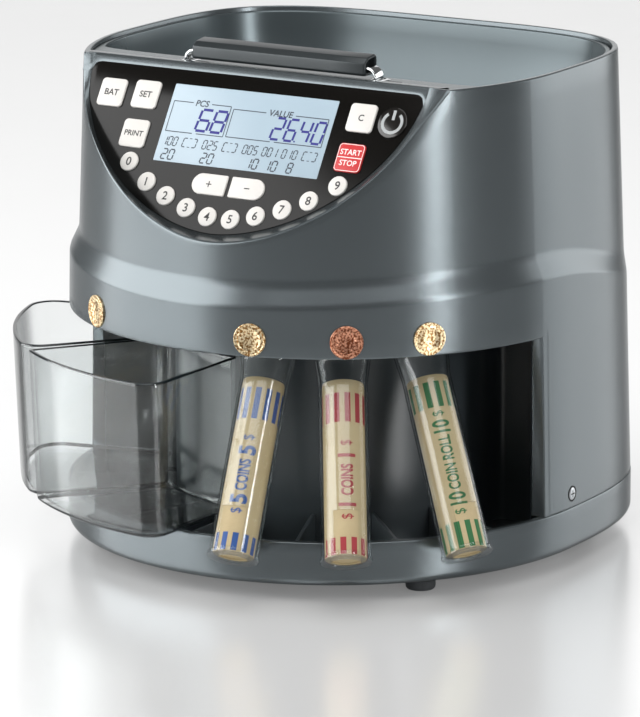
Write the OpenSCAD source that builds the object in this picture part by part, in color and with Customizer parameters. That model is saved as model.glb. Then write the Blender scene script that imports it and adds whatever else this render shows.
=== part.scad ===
// Coin sorting machine: round-fronted housing, sorting disc under a deep hopper, sloped control panel,
// two see-through coin bins and three leaning coin tubes with paper wrappers.
// Front is -Y, up is +Z, the table is z = 0. Lengths are in millimetres.

/* [Housing] */
// height of the housing rim above the table
body_h = 266; // [230:1:300]
// half width of the housing at its rim
rim_half = 135.3; // [115:0.1:150]
// depth of the rim behind the centre
rim_back = 124; // [105:1:140]
// half width just above the flare
waist_half = 139.2; // [118:0.1:152]
// half width just below the flare
flare_half = 144.5; // [122:0.1:158]
// half width of the housing at its lower edge
foot_half = 147.2; // [125:0.1:160]
// depth of the lower housing behind the centre
foot_back = 142; // [120:1:155]
// height of the upper edge of the flare at the front
flare_top = 166.2; // [150:0.1:180]
// height of the lower edge of the flare at the front
flare_low = 155.4; // [140:0.1:172]
// rise of the flare from the front to the sides
flare_arch = 5.3; // [0:0.1:10]
// fall of the flare from the sides to the rear
flare_drop = 21; // [0:0.5:30]
// wall thickness of the housing
wall = 3; // [2:0.1:4]
// height of the top of the coin bay, the lower edge of the skirt
bay_top = 129.2; // [115:0.1:140]
// distance from the centre forward to the side jambs of the bay
jamb_y = 25.5; // [10:0.5:60]
// width of the face of each jamb
jamb_w = 11; // [6:0.5:18]

/* [Base] */
// height of the feet
foot_h = 8; // [4:0.5:14]
// radius of each foot
foot_r = 8; // [5:0.5:14]
// half distance between the feet, side to side
foot_x = 100; // [70:1:115]
// height of the top of the base rim above the table
base_top = 32; // [26:0.5:40]
// thickness of the base bottom and rim
base_wall = 4; // [2.5:0.1:6]
// height of the dividers on the base floor above the table
divider_top = 31.8; // [20:0.1:32]
// thickness of the dividers
divider_t = 2.5; // [1.5:0.1:4]
// radius of the drum that closes the back of the bay
drum_r = 88; // [75:1:100]
// distance from the centre to the front feet
foot_front = 79; // [60:1:100]
// distance from the centre to the rear feet
foot_rear = 92; // [70:1:110]
// distance from the centre back to the rear wall of the bay
bay_back = 25; // [10:1:60]

/* [Panel] */
// slope of the control panel from the vertical
panel_tilt = 31.9; // [20:0.1:45]
// distance from the centre forward to the top edge of the panel
panel_y = 71.8; // [60:0.1:85]
// half width of the black fascia at its top
fascia_half = 106; // [90:0.5:115]
// height of the fascia along the slope
fascia_h = 91.5; // [70:0.5:100]
// distance along the slope from the rim to the fascia
fascia_gap = 4.5; // [2:0.1:10]
// thickness of the fascia
fascia_t = 2; // [1.5:0.1:3]
// width of the display window
lcd_w = 102; // [60:0.5:120]
// height of the display window along the slope
lcd_h = 44.2; // [25:0.1:50]
// distance along the slope from the rim to the middle of the display
lcd_q = 34.6; // [25:0.1:40]
// side of the square keys
key_w = 15.8; // [10:0.1:18]
// diameter of the number keys
digit_d = 10.8; // [7:0.1:12]
// width of the plus and minus keys
sign_w = 21; // [14:0.5:24]
// height of the plus and minus keys
sign_h = 11.6; // [8:0.1:14]
// diameter of the power button
power_d = 17; // [12:0.1:20]
// travel of every key
key_travel = 0.9; // [0.4:0.1:1.5]
// height of a key above the fascia
key_proud = 1.1; // [0.6:0.1:2]

/* [Hopper] */
// radius of the hopper outlet above the sorting disc
throat_r = 98; // [96:0.5:104]
// wall thickness of the hopper
hopper_t = 2.4; // [1.6:0.1:3.5]
// depth of the flat deck at the front of the hopper
deck_strip = 18; // [12:0.5:26]

/* [Handle] */
// length of the grip
grip_l = 108; // [80:1:130]
// depth of the grip, front to back
grip_d = 13; // [9:0.5:20]
// height of the grip at its front face
grip_h = 8.4; // [6:0.1:14]
// distance from the centre forward to the handle
handle_y = 60.3; // [58:0.1:61]
// sideways place of the handle from the centre
handle_x = 4.5; // [-10:0.5:10]
// width of the steel strap
strap_w = 8; // [5:0.5:8.5]
// thickness of the steel strap
strap_t = 1.6; // [1:0.1:2.5]
// lift of the handle before its ends meet their stops
handle_lift = 10; // [4:0.5:16]

/* [Coins] */
// distance from the centre to the coin outlets
outlet_at = 110; // [100:0.5:118]
// side of the square coin outlets in the deck
outlet_w = 24.5; // [22:0.5:26]
// direction of the three coin tubes from the front, in degrees
tube_angles = [13.1, 33.2, 55]; // [0:0.1:90]
// lean of the tubes from the vertical
tube_lean = 31.9; // [10:0.1:40]
// outer diameter of a coin tube
tube_d = 26; // [20:0.1:30]
// wall of a coin tube
tube_t = 1.2; // [0.8:0.1:2]
// length of a coin tube
tube_l = 99.5; // [70:0.5:110]
// diameter of the flange at the foot of a tube
tube_flange = 28.4; // [24:0.1:34]
// diameter of a paper wrapper
wrapper_d = 22; // [16:0.1:26]
// length of a paper wrapper
wrapper_l = 95; // [60:0.5:105]
// diameter of the coin badges
badge_d = 17.4; // [12:0.1:24]
// directions of the coin badges from the front, in degrees
badge_angles = [-30.4, 12.8, 33.3, 50.8]; // [-90:0.1:90]
// height of the coin badges above the table
badge_z = 139.5; // [134:0.1:150]
// radius of the outer wall of the bins
bin_r = 176; // [155:1:200]
// height of a bin
bin_h = 84; // [60:1:95]
// wall thickness of a bin
bin_t = 2; // [1.2:0.1:3]
// radius of the bin corners
bin_corner = 12; // [5:0.5:25]
// first and last direction of the front bin
front_bin = [-37.4, -1.2]; // [-90:0.1:90]
// first and last direction of the left bin
left_bin = [-78.2, -39.2]; // [-90:0.1:90]

/* [Sorter] */
// radius of the sorting disc
disc_r = 94; // [80:1:105]
// thickness of the sorting disc
disc_t = 5; // [3:0.5:8]
// height of the sorting disc above the table
disc_z = 147; // [142:0.5:152]
// radius of the drive shaft
shaft_r = 4; // [3:0.1:6]
// radius of the gear motor
motor_r = 26; // [18:0.5:34]
// height of the gear motor
motor_h = 58; // [40:1:80]

/* [Hidden] */
$fn = 48;
gap = 0.3;
run = 0.05;
plan_n = 96;
rim_n = 3.8;
foot_n = 3;
waist_back = rim_back + 3;
flare_back = foot_back - 3;
arch_y = -25;
arch_front = -138;
arch_len = 150;
shift_x = 8.77;
shift_y = 17.76;
base_bottom = foot_h;
base_floor = base_bottom + base_wall;
deck_t = 3;
deck_z = bay_top;
deck_top = deck_z + deck_t;
rail_top = disc_z + disc_t + 2;
throat_z = rail_top + gap;
slot_angles = [-50, -30.4, -9];
slots = concat(slot_angles, tube_angles);
digit_x = [64.8, 50.4, 36.2, 21.6, 7.1];
digit_q = [59.1, 69.2, 75.7, 80.9, 84.4];
square_x = 67;
square_q = [20.8, 43.2];
bat_x = 88.5;
bat_q = 21.6;
power_x = 86;
sign_x = 11.8;
sign_q = 66.6;
key_flange = 0.8;
key_flange_t = 1;
board_t = 1.6;
switch_h = 0.8;
switch_w = 5;
panel_t = fascia_t + wall;
panel_reach = 90;
board_lap = 3;
ledge = 5;
window_depth = 12;
ring_t = 2.9;
gate_w = 18;
rail_lip = 1.6;
rail_t = 1.4;
tube_n = 24;
rail_w = 30.6;
rail_in = outlet_at - 9;
rail_out = outlet_at + 17;
plate_t = 2;
plate_z = deck_z - gap - plate_t;
funnel_r = rail_w / 2 - 1.5;
funnel_wall = 1;
tube_top_r = outlet_at + 7.5;
tube_top_z = plate_z - 15;
hopper_top = body_h - 2;
hopper_gap = 0.5;
roof = 4;
stop_w = 6;
boss_w = 9;
boss_d = 10;
boss_t = 1.5;
grip_gap = 2.8;
screw_r = 3.4;
screw_z = base_top + 7.5;
screw_seat = foot_half - 1.8;
screw_head = 1.5;
screw_shank = 1.5;
lug_in = foot_half - jamb_w + 0.4;
lug_out = foot_half - wall - 0.6;
badge_floor = 144;
inlet_face = 139.4;
inlet_x = -32;
inlet_z = 71;
inlet_w = 28;
inlet_h = 22;
stand_h = 5;
stand_x = 55;
stand_y = [98, 126];

// plan curve: round in front of the centre, squarer behind it
function plan_r(a, w, b, n) = cos(a) >= 0 ? w : pow(pow(abs(sin(a)) / w, n) + pow(abs(cos(a)) / b, n), -1 / n);
function plan_pt(a, w, b, n) = [plan_r(a, w, b, n) * sin(a), -plan_r(a, w, b, n) * cos(a)];
function plan_loop(w, b, n) = [for (i = [0:plan_n - 1]) plan_pt(i * 360 / plan_n, w, b, n)];
function clamp(v, lo, hi) = max(lo, min(hi, v));
function arch(y) = flare_arch * (1 - pow(clamp((arch_y - y) / (arch_y - arch_front), 0, 1.1), 2))
    - flare_drop * (1 - cos(180 * clamp((y - arch_y) / arch_len, 0, 1))) / 2;
function flat_ring(w, b, n, z) = [for (p = plan_loop(w, b, n)) [p[0], p[1], z]];
function arch_ring(w, b, n, z) = [for (p = plan_loop(w, b, n)) [p[0], p[1], z + arch(p[1])]];
function dir(a) = [sin(a), -cos(a)];
// outline of the fascia: flat along the top, one bulging curve below
function fascia_curve(a, q0, h) = [for (i = [0:48]) let (t = i * 180 / 48, c = cos(t), s = sin(t))
    [a * sign(c) * pow(abs(c), 2 / 1.8), -(q0 + (h - q0) * pow(s, 2 / 1.8))]];
// plan of a bin: round outer wall with rounded corners, straight sides
function bin_loop(r0, r1, a, b, rho) = let (e = asin(rho / (r1 - rho))) concat(
    [for (i = [0:6]) let (t = a - 90 + (90 + e) * i / 6) (r1 - rho) * dir(a + e) + rho * dir(t)],
    [for (i = [1:11]) let (t = a + e + (b - a - 2 * e) * i / 12) r1 * dir(t)],
    [for (i = [0:6]) let (t = b - e + (90 + e) * i / 6) (r1 - rho) * dir(b - e) + rho * dir(t)],
    [for (i = [0:6]) r0 * dir(b + (a - b) * i / 6)]);

// solid through a stack of rings with the same number of points
module loft(rings) {
    m = len(rings[0]);
    k = len(rings);
    pts = [for (r = rings) each r];
    sides = [for (j = [0:k - 2], i = [0:m - 1]) let (a = j * m + i, b = j * m + (i + 1) % m)
        each [[a, a + m, b], [b, a + m, b + m]]];
    polyhedron(points = pts, faces = concat(sides, [[for (i = [0:m - 1]) i]],
        [[for (i = [m - 1:-1:0]) (k - 1) * m + i]]), convexity = 6);
}

module place() {
    translate([shift_x, shift_y, 0]) children();
}

// frame on the slope: x to the right, y up the slope, z out of the panel
module on_panel(depth = 0) {
    translate([0, -panel_y, body_h]) rotate([90 - panel_tilt, 0, 0]) translate([0, 0, depth]) children();
}

module rounded(w, h, r) {
    square([w - 2 * r, h], center = true);
    square([w, h - 2 * r], center = true);
    for (x = [-1, 1], y = [-1, 1]) translate([x * (w / 2 - r), y * (h / 2 - r)]) circle(r, $fn = 24);
}

// a key outline with one round end
module d_key(w, h, side) {
    translate([-side * h / 4, 0]) square([w - h / 2, h], center = true);
    translate([side * (w - h) / 2, 0]) circle(h / 2);
}

module shell_solid(t, z0, z1) {
    loft([flat_ring(foot_half - t, foot_back - t, foot_n, z0),
        arch_ring(flare_half - t, flare_back - t, foot_n, flare_low),
        arch_ring(waist_half - t, waist_back - t, rim_n, flare_top),
        flat_ring(rim_half - t, rim_back - t, rim_n, z1)]);
}

// space in front of the panel, grown inward by t; it widens sideways towards the front
module panel_cut(t) {
    hull() {
        on_panel(-t) linear_extrude(0.02)
            polygon(concat(fascia_curve(fascia_half + t, 0, fascia_h + t), [[-fascia_half - t, 30], [fascia_half + t, 30]]));
        translate([0, -panel_reach, 0]) on_panel(-t) linear_extrude(0.02)
            polygon(concat(fascia_curve(fascia_half + panel_reach + t, 0, fascia_h + t),
                [[-fascia_half - panel_reach - t, 30], [fascia_half + panel_reach + t, 30]]));
    }
}

module badge_at(a, r) {
    rotate([0, 0, a]) translate([0, -r, badge_z]) rotate([90, 0, 0]) children();
}

module housing() {
    inner = foot_half - jamb_w;
    color("slategray") place() difference() {
        shell_solid(0, base_top, body_h);
        difference() {
            shell_solid(wall, base_top - 1, body_h + 1);
            panel_cut(panel_t);
            for (s = [-1, 1]) translate([s > 0 ? inner : -200, -jamb_y - 1, 0])
                cube([200 - inner, 1 + wall, bay_top]);
        }
        panel_cut(0);
        on_panel(-fascia_t) linear_extrude(fascia_t + 1) polygon(fascia_curve(fascia_half, fascia_gap, fascia_h));
        on_panel(-window_depth) linear_extrude(window_depth + 1)
            polygon(fascia_curve(fascia_half - ledge, fascia_gap + ledge, fascia_h - ledge));
        for (k = KEYS) on_panel(-window_depth) translate([k[0], -k[1]]) linear_extrude(window_depth)
            key_shape(k[2], key_flange + gap);
        translate([-200, -200, 0]) cube([400, 200 - jamb_y, bay_top]);
        for (a = badge_angles) badge_at(a, badge_floor) cylinder(h = 8, r = badge_d / 2 + gap / 2);
        for (s = [-1, 1]) translate([s * screw_seat, 0, screw_z]) rotate([0, s * 90, 0]) {
            cylinder(h = 8, r = screw_r + gap);
            cylinder(h = 20, r = screw_shank + gap, center = true);
        }
        translate([inlet_x, foot_back, inlet_z]) cube([inlet_w, 30, inlet_h], center = true);
        translate([inlet_x, inlet_face + 5, inlet_z]) cube([inlet_w + 8, 10, inlet_h + 8], center = true);
    }
}

module base_tray() {
    color("dimgray") place() {
        difference() {
            translate([0, 0, base_bottom]) linear_extrude(base_top - base_bottom)
                polygon(plan_loop(foot_half + gap, foot_back + gap, foot_n));
            translate([0, 0, base_floor]) linear_extrude(base_top)
                polygon(plan_loop(foot_half - base_wall, foot_back - base_wall, foot_n));
            for (x = [-foot_x, foot_x], y = [-foot_front, foot_rear]) translate([x, y, base_bottom - 1])
                cylinder(h = 3, r = 3);
        }
        for (a = [-59, -38.3, -19, -0.2, 23.2, 44.2, 66]) rotate([0, 0, a])
            translate([-divider_t / 2, -foot_half + base_wall - 0.5, base_floor - 0.01])
                cube([divider_t, foot_half - base_wall - drum_r - gap, divider_top - base_floor]);
        for (s = [-1, 1]) difference() {
            translate([s > 0 ? lug_in : -lug_out, -6, base_floor - 0.01]) cube([lug_out - lug_in, 12, screw_z + 7 - base_floor]);
            translate([s * lug_in, 0, screw_z]) rotate([0, 90, 0]) cylinder(h = 20, r = screw_shank + run, center = true);
        }
        for (x = [-stand_x, stand_x], y = stand_y) translate([x, y, base_floor - 0.01]) cylinder(h = stand_h, r = 2.5);
    }
}

module feet() {
    color("silver") place() for (x = [-foot_x, foot_x], y = [-foot_front, foot_rear]) translate([x, y, 0]) {
        cylinder(h = base_bottom, r = foot_r);
        translate([0, 0, base_bottom - 0.01]) cylinder(h = 1.5, r = 2.8);
    }
}

module bay_wall() {
    inner = foot_half - jamb_w - gap;
    color("#2b2f31") place() {
        difference() {
            translate([0, 0, base_floor]) cylinder(h = deck_z - base_floor, r = drum_r, $fn = 72);
            translate([0, 0, base_floor - 1]) cylinder(h = deck_z, r = drum_r - 2.5, $fn = 72);
        }
        for (s = [-1, 1]) {
            translate([s > 0 ? drum_r - 6 : -inner, bay_back, base_floor])
                cube([inner - drum_r + 6, 2.5, deck_z - base_floor]);
            translate([s > 0 ? inner - 2.5 : -inner, -jamb_y, base_floor])
                cube([2.5, jamb_y + bay_back + 2.5, deck_z - base_floor]);
        }
    }
}

// deck under the sorting disc, with the coin outlets
module sort_deck() {
    color("#33383a") place() difference() {
        translate([0, 0, deck_z]) linear_extrude(deck_t)
            polygon(plan_loop(flare_half - wall + 0.2, flare_back - wall - gap, foot_n));
        for (a = slots) rotate([0, 0, a]) translate([0, -outlet_at, deck_z]) cube([outlet_w, outlet_w, 3 * deck_t], center = true);
        translate([0, 0, deck_z - 1]) cylinder(h = deck_t + 2, r = shaft_r + 2);
    }
}

// two rails with lips under each tube outlet
module tube_rails() {
    low = plate_z - gap - rail_lip;
    inset = rail_w / 2 - funnel_r;
    color("#33383a") place() for (a = tube_angles, s = [-1, 1]) rotate([0, 0, a]) scale([s, 1, 1]) {
        translate([rail_w / 2 + gap, -rail_out, low]) cube([rail_t, rail_out - rail_in, deck_z - low - run]);
        translate([rail_w / 2 + gap - inset, -rail_out, low]) cube([inset + rail_t, rail_out - rail_in, rail_lip]);
    }
}

// fixed ring round the disc, one gate towards each outlet
module sort_rail() {
    color("silver") place() difference() {
        translate([0, 0, deck_top]) cylinder(h = rail_top - deck_top, r = disc_r + gap + ring_t, $fn = 96);
        translate([0, 0, deck_top - 1]) cylinder(h = 60, r = disc_r + gap, $fn = 96);
        for (a = slots) rotate([0, 0, a]) translate([-gate_w / 2, -outlet_at, disc_z + disc_t - 3]) cube([gate_w, 25, 20]);
    }
}

module sorting_disc() {
    top = disc_z + disc_t;
    color("gainsboro") place() difference() {
        union() {
            translate([0, 0, disc_z]) cylinder(h = disc_t, r = disc_r, $fn = 96);
            translate([0, 0, top - 0.01]) cylinder(h = 9, r1 = 20, r2 = 9);
            for (a = [0:60:300]) rotate([0, 0, a]) translate([-2, 24, top - 0.01]) cube([4, 50, 1.6]);
            translate([0, 0, disc_z - 6]) cylinder(h = 6.01, r = 14);
        }
        translate([0, 0, disc_z - 10]) cylinder(h = disc_t + 9 + gap, r = shaft_r + run);
    }
}

module drive_shaft() {
    color("silver") place() translate([0, 0, deck_z - 16]) cylinder(h = disc_z + disc_t - 1 - deck_z + 16, r = shaft_r);
}

module gear_motor() {
    color("#b9bcc0") place() difference() {
        union() {
            translate([0, 0, deck_z - 22 - motor_h]) cylinder(h = motor_h, r = motor_r);
            translate([0, 0, deck_z - 22.01]) cylinder(h = 16, r = motor_r + 6);
            for (a = [45:90:315]) rotate([0, 0, a]) translate([motor_r, 0, deck_z - 6.1]) cylinder(h = 6.1, r = 4);
        }
        translate([0, 0, deck_z - 18]) cylinder(h = 20, r = shaft_r + run);
    }
}

// hopper: flat deck at the front, sloping bowl down to the round outlet
module hopper_solid(t, top) {
    rim_w = rim_half - wall - hopper_gap - t;
    rim_b = rim_back - wall - hopper_gap - t;
    intersection() {
        loft([flat_ring(throat_r - t, throat_r - t, 2, throat_z - (t > 0 ? 1 : 0)),
            flat_ring(throat_r + 3 - t, throat_r + 3 - t, 2.2, throat_z + 12),
            flat_ring(rim_w - 14, rim_b - 14, rim_n, throat_z + 62),
            flat_ring(rim_w, rim_b, rim_n, top)]);
        hopper_front(-panel_y + panel_t / cos(panel_tilt) + gap, t);
    }
}

module hopper_front(cut_y, t) {
    front = cut_y + (t > 0 ? deck_strip - t : 0);
    foot = (t > 0 ? hopper_t : 0) - throat_r;
    translate([-200, 0, 0]) rotate([90, 0, 90]) linear_extrude(400)
        polygon([[front, body_h + 5], [200, body_h + 5], [200, throat_z - 5], [foot - 4, throat_z - 5],
            [foot + 4, throat_z + 8], [front, throat_z + 66]]);
}

module hopper() {
    color("#7d8587") place() difference() {
        hopper_solid(0, hopper_top);
        hopper_solid(hopper_t, hopper_top + 0.01);
        for (s = [-1, 1]) translate([handle_x + s * (grip_l / 2 + 5), -handle_y, 0]) {
            translate([0, 0, hopper_top]) cube([strap_t + 0.8, strap_w + 0.8, 20], center = true);
            translate([0, 0, hopper_top - roof - 9]) cube([stop_w + 1, strap_w + 0.8, 18], center = true);
        }
    }
}

module handle_feet() {
    color("silver") place() for (s = [-1, 1]) translate([handle_x + s * (grip_l / 2 + 5), -handle_y, hopper_top])
        difference() {
            translate([-boss_w / 2, -boss_d / 2, 0]) cube([boss_w, boss_d, boss_t]);
            cube([strap_t + 0.8, strap_w + 0.8, 20], center = true);
        }
}

module handle_strap() {
    half = grip_l / 2 + 5;
    bend = 5;
    z = hopper_top + grip_gap + grip_h / 2;
    stop_z = hopper_top - roof - handle_lift - gap;
    color("silver") place() translate([handle_x, -handle_y + strap_w / 2, 0]) rotate([90, 0, 0]) linear_extrude(strap_w) {
        translate([-half + bend, z - strap_t / 2]) square([2 * (half - bend), strap_t]);
        for (s = [-1, 1]) {
            translate([s * half - strap_t / 2, stop_z - strap_t]) square([strap_t, z - bend - stop_z + strap_t]);
            translate([s * (half - bend), z - bend]) intersection() {
                difference() {
                    circle(bend + strap_t / 2);
                    circle(bend - strap_t / 2);
                }
                translate([s > 0 ? 0 : -10, 0]) square(10);
            }
            translate([s * half - stop_w / 2, stop_z - strap_t]) square([stop_w, strap_t]);
        }
    }
}

module handle_grip() {
    z = hopper_top + grip_gap;
    color("#4d5457") place() difference() {
        translate([handle_x - grip_l / 2 + 0.4, -66, z]) rotate([90, 0, 90]) linear_extrude(grip_l - 0.8)
            polygon([[0, 0.8], [0.8, 0], [grip_d - 1, 0], [grip_d, 1], [grip_d, grip_h + 1.2], [grip_d - 1.5, grip_h + 2],
                [4, grip_h + 1], [0, grip_h - 1]]);
        translate([handle_x, -handle_y, z + grip_h / 2])
            cube([grip_l + 2, strap_w + 2 * run, strap_t + 2 * run], center = true);
    }
}

module key_shape(kind, grow) {
    if (kind == 0) rounded(key_w + 2 * grow, key_w + 2 * grow, 1.8);
    if (kind == 1) circle(digit_d / 2 + grow);
    if (kind == 2) d_key(sign_w + 2 * grow, sign_h + 2 * grow, -1);
    if (kind == 3) d_key(sign_w + 2 * grow, sign_h + 2 * grow, 1);
    if (kind == 4) circle(power_d / 2 + grow);
}

KEYS = concat([[-bat_x, bat_q, 0], [-square_x, square_q[0], 0], [-square_x, square_q[1], 0], [square_x, square_q[0], 0],
    [square_x, square_q[1], 0], [-sign_x, sign_q, 2], [sign_x, sign_q, 3]],
    [for (i = [0:4]) [-digit_x[i], digit_q[i], 1]], [for (i = [4:-1:0]) [digit_x[i], digit_q[i], 1]], [[power_x, bat_q, 4]]);

module key_cap(i) {
    k = KEYS[i];
    place() on_panel(0) translate([k[0], -k[1], 0]) {
        translate([0, 0, -fascia_t - gap - key_flange_t]) linear_extrude(fascia_t + gap + key_flange_t + key_proud)
            key_shape(k[2], 0);
        translate([0, 0, -fascia_t - gap - key_flange_t]) linear_extrude(key_flange_t) key_shape(k[2], key_flange);
    }
}

module fascia() {
    color("#15130f") place() difference() {
        on_panel(-fascia_t) linear_extrude(fascia_t) difference() {
            polygon(fascia_curve(fascia_half - gap / 2, fascia_gap + gap / 2, fascia_h - gap / 2));
            translate([0, -lcd_q]) square([lcd_w, lcd_h], center = true);
            for (k = KEYS) translate([k[0], -k[1]]) key_shape(k[2], gap);
        }
    }
}

module lcd_glass() {
    color("#dcebf3") place() on_panel(-fascia_t - 1) translate([0, -lcd_q, 0]) {
        linear_extrude(1) square([lcd_w + 4, lcd_h + 4], center = true);
        linear_extrude(1 + fascia_t - 0.4) square([lcd_w - 0.4, lcd_h - 0.4], center = true);
    }
}

module lcd_module() {
    color("#2f6b45") place() on_panel(-fascia_t - 8) translate([0, -lcd_q, 0]) linear_extrude(7)
        square([lcd_w + 4, lcd_h + 4], center = true);
}

module key_board() {
    top = -panel_t - gap;
    color("#2f6b45") place() difference() {
        union() {
            on_panel(top - board_t) linear_extrude(board_t) polygon(fascia_curve(fascia_half - ledge + board_lap,
                fascia_gap + ledge - board_lap, fascia_h - ledge + board_lap));
            for (k = KEYS) on_panel(top - 0.01) translate([k[0], -k[1], switch_h / 2])
                cube([switch_w, switch_w, switch_h + 0.02], center = true);
        }
        on_panel(top - 20) translate([0, -lcd_q, 0]) linear_extrude(30)
            square([lcd_w + 4 + 2 * gap, lcd_h + 4 + 2 * gap], center = true);
    }
}

// rings for the tube wall: square to its axis at the distance s, and flat under its outlet
function tube_ring(s, r) = [for (k = [0:tube_n - 1]) let (t = k * 360 / tube_n) [r * cos(t),
    s * sin(tube_lean) + r * sin(t) * cos(tube_lean) - tube_top_r - sin(tube_lean) * tube_l,
    s * cos(tube_lean) - r * sin(t) * sin(tube_lean) + tube_top_z - cos(tube_lean) * tube_l]];
function outlet_ring(z, r) = [for (k = [0:tube_n - 1]) let (t = k * 360 / tube_n)
    [r * cos(t), r * sin(t) - outlet_at, z]];

// frame at the foot of a tube: z up along its axis
module on_tube(i) {
    rotate([0, 0, tube_angles[i]])
        translate([0, -tube_top_r - sin(tube_lean) * tube_l, tube_top_z - cos(tube_lean) * tube_l])
            rotate([-tube_lean, 0, 0]) children();
}

module tube(i) {
    bore = tube_d / 2 - tube_t;
    color("#dfe8ea", 0.4) place() difference() {
        rotate([0, 0, tube_angles[i]]) difference() {
            union() {
                loft([tube_ring(0, tube_flange / 2), tube_ring(2.4, tube_flange / 2), tube_ring(2.41, tube_d / 2),
                    tube_ring(tube_l - 2, tube_d / 2), outlet_ring(plate_z + 0.5, funnel_r)]);
                translate([-rail_w / 2, -rail_out + 1, plate_z]) cube([rail_w, rail_out - rail_in - 2, plate_t]);
            }
            loft([tube_ring(1.6, bore), tube_ring(tube_l - 2, bore),
                outlet_ring(plate_z + plate_t + 0.5, funnel_r - funnel_wall)]);
        }
        on_tube(i) translate([0, 0, -1]) cylinder(h = 4, r = 8, $fn = 32);
        on_tube(i) translate([-7, -tube_d, 3.5]) cube([14, tube_d, 22]);
    }
}

module wrapper(i) {
    color("#cdb99a") place() on_tube(i) translate([0, 0, 1.8]) difference() {
        cylinder(h = wrapper_l, r = wrapper_d / 2, $fn = tube_n);
        translate([0, 0, 1]) cylinder(h = wrapper_l, r = wrapper_d / 2 - 0.8, $fn = tube_n);
    }
}

module badge(i) {
    color(i == 2 ? "#b46b45" : "#c9a24a") place() badge_at(badge_angles[i], badge_floor + gap)
        cylinder(h = 1.6, r = badge_d / 2);
}

module bin(a, b) {
    low = base_top + gap;
    outer0 = bin_loop(drum_r + 8, bin_r - 3, a, b, bin_corner);
    outer1 = bin_loop(drum_r + 8, bin_r, a, b, bin_corner);
    d = 0.9;
    inner0 = bin_loop(drum_r + 8 + bin_t, bin_r - 3 - bin_t, a + d, b - d, bin_corner - bin_t);
    inner1 = bin_loop(drum_r + 8 + bin_t, bin_r - bin_t, a + d, b - d, bin_corner - bin_t);
    color("#8a969a", 0.4) place() difference() {
        loft([[for (p = outer0) [p[0], p[1], low]], [for (p = outer1) [p[0], p[1], low + bin_h]]]);
        loft([[for (p = inner0) [p[0], p[1], low + bin_t]], [for (p = inner1) [p[0], p[1], low + bin_h + 0.1]]]);
    }
}

module power_supply() {
    color("#8d9396") place() translate([-35, -25, base_floor + gap]) cube([70, 50, 34]);
}

module main_board() {
    color("#2f6b45") place() {
        translate([-stand_x - 5, stand_y[0] - 5, base_floor + stand_h + gap])
            cube([2 * stand_x + 10, stand_y[1] - stand_y[0] + 10, board_t]);
        translate([-20, stand_y[0], base_floor + stand_h + gap + board_t - 0.01]) cube([30, 18, 9]);
    }
}

module power_inlet() {
    color("#202224") place() difference() {
        union() {
            translate([inlet_x, inlet_face - 8, inlet_z]) cube([inlet_w - 2 * gap, 16, inlet_h - 2 * gap], center = true);
            translate([inlet_x, inlet_face + 1, inlet_z]) cube([inlet_w + 7, 2, inlet_h + 7], center = true);
        }
        translate([inlet_x, inlet_face - 2, inlet_z]) cube([inlet_w - 6, 20, inlet_h - 6], center = true);
    }
}

module side_screws() {
    color("silver") place() for (s = [-1, 1]) translate([s * screw_seat, 0, screw_z]) rotate([0, s * 90, 0]) {
        cylinder(h = screw_head, r = screw_r);
        translate([0, 0, -8]) cylinder(h = 8.01, r = screw_shank);
    }
}

base_tray();
feet();
housing();
bay_wall();
sort_deck();
tube_rails();
sort_rail();
sorting_disc();
drive_shaft();
gear_motor();
hopper();
handle_feet();
handle_strap();
handle_grip();
fascia();
lcd_glass();
lcd_module();
key_board();
color("#ece9e6") key_cap(0);  // key_bat
color("#ece9e6") key_cap(1);  // key_set
color("#ece9e6") key_cap(2);  // key_print
color("#ece9e6") key_cap(3);  // key_clear
color("#e03a3a") key_cap(4);  // key_start
color("#ece9e6") key_cap(5);  // key_plus
color("#ece9e6") key_cap(6);  // key_minus
color("#ece9e6") key_cap(7);  // key_0
color("#ece9e6") key_cap(8);  // key_1
color("#ece9e6") key_cap(9);  // key_2
color("#ece9e6") key_cap(10);  // key_3
color("#ece9e6") key_cap(11);  // key_4
color("#ece9e6") key_cap(12);  // key_5
color("#ece9e6") key_cap(13);  // key_6
color("#ece9e6") key_cap(14);  // key_7
color("#ece9e6") key_cap(15);  // key_8
color("#ece9e6") key_cap(16);  // key_9
color("#1b1a18") key_cap(17);  // power_button
tube(0);  // tube_1
tube(1);  // tube_2
tube(2);  // tube_3
wrapper(0);  // wrapper_1
wrapper(1);  // wrapper_2
wrapper(2);  // wrapper_3
badge(0);  // badge_1
badge(1);  // badge_2
badge(2);  // badge_3
badge(3);  // badge_4
bin(front_bin[0], front_bin[1]);  // bin_front
bin(left_bin[0], left_bin[1]);  // bin_left
power_supply();
main_board();
power_inlet();
side_screws();
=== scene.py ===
import bmesh
import bpy
from math import acos, asin, cos, degrees, hypot, pi, radians, sin, sqrt
from mathutils import Matrix, Vector


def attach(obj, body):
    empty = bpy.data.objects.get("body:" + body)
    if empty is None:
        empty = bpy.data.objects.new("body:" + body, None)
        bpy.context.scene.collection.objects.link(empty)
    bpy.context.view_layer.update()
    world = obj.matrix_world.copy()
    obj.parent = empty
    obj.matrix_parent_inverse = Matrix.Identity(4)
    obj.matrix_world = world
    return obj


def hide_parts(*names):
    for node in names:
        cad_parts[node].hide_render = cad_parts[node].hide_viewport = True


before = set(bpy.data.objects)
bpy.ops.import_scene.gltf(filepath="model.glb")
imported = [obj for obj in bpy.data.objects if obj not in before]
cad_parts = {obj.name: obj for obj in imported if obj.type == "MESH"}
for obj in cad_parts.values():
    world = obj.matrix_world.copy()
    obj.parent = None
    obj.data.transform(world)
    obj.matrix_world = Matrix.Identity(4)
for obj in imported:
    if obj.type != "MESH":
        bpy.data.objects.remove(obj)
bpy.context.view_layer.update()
print("frame loaded:", len(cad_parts), "nodes")

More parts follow.
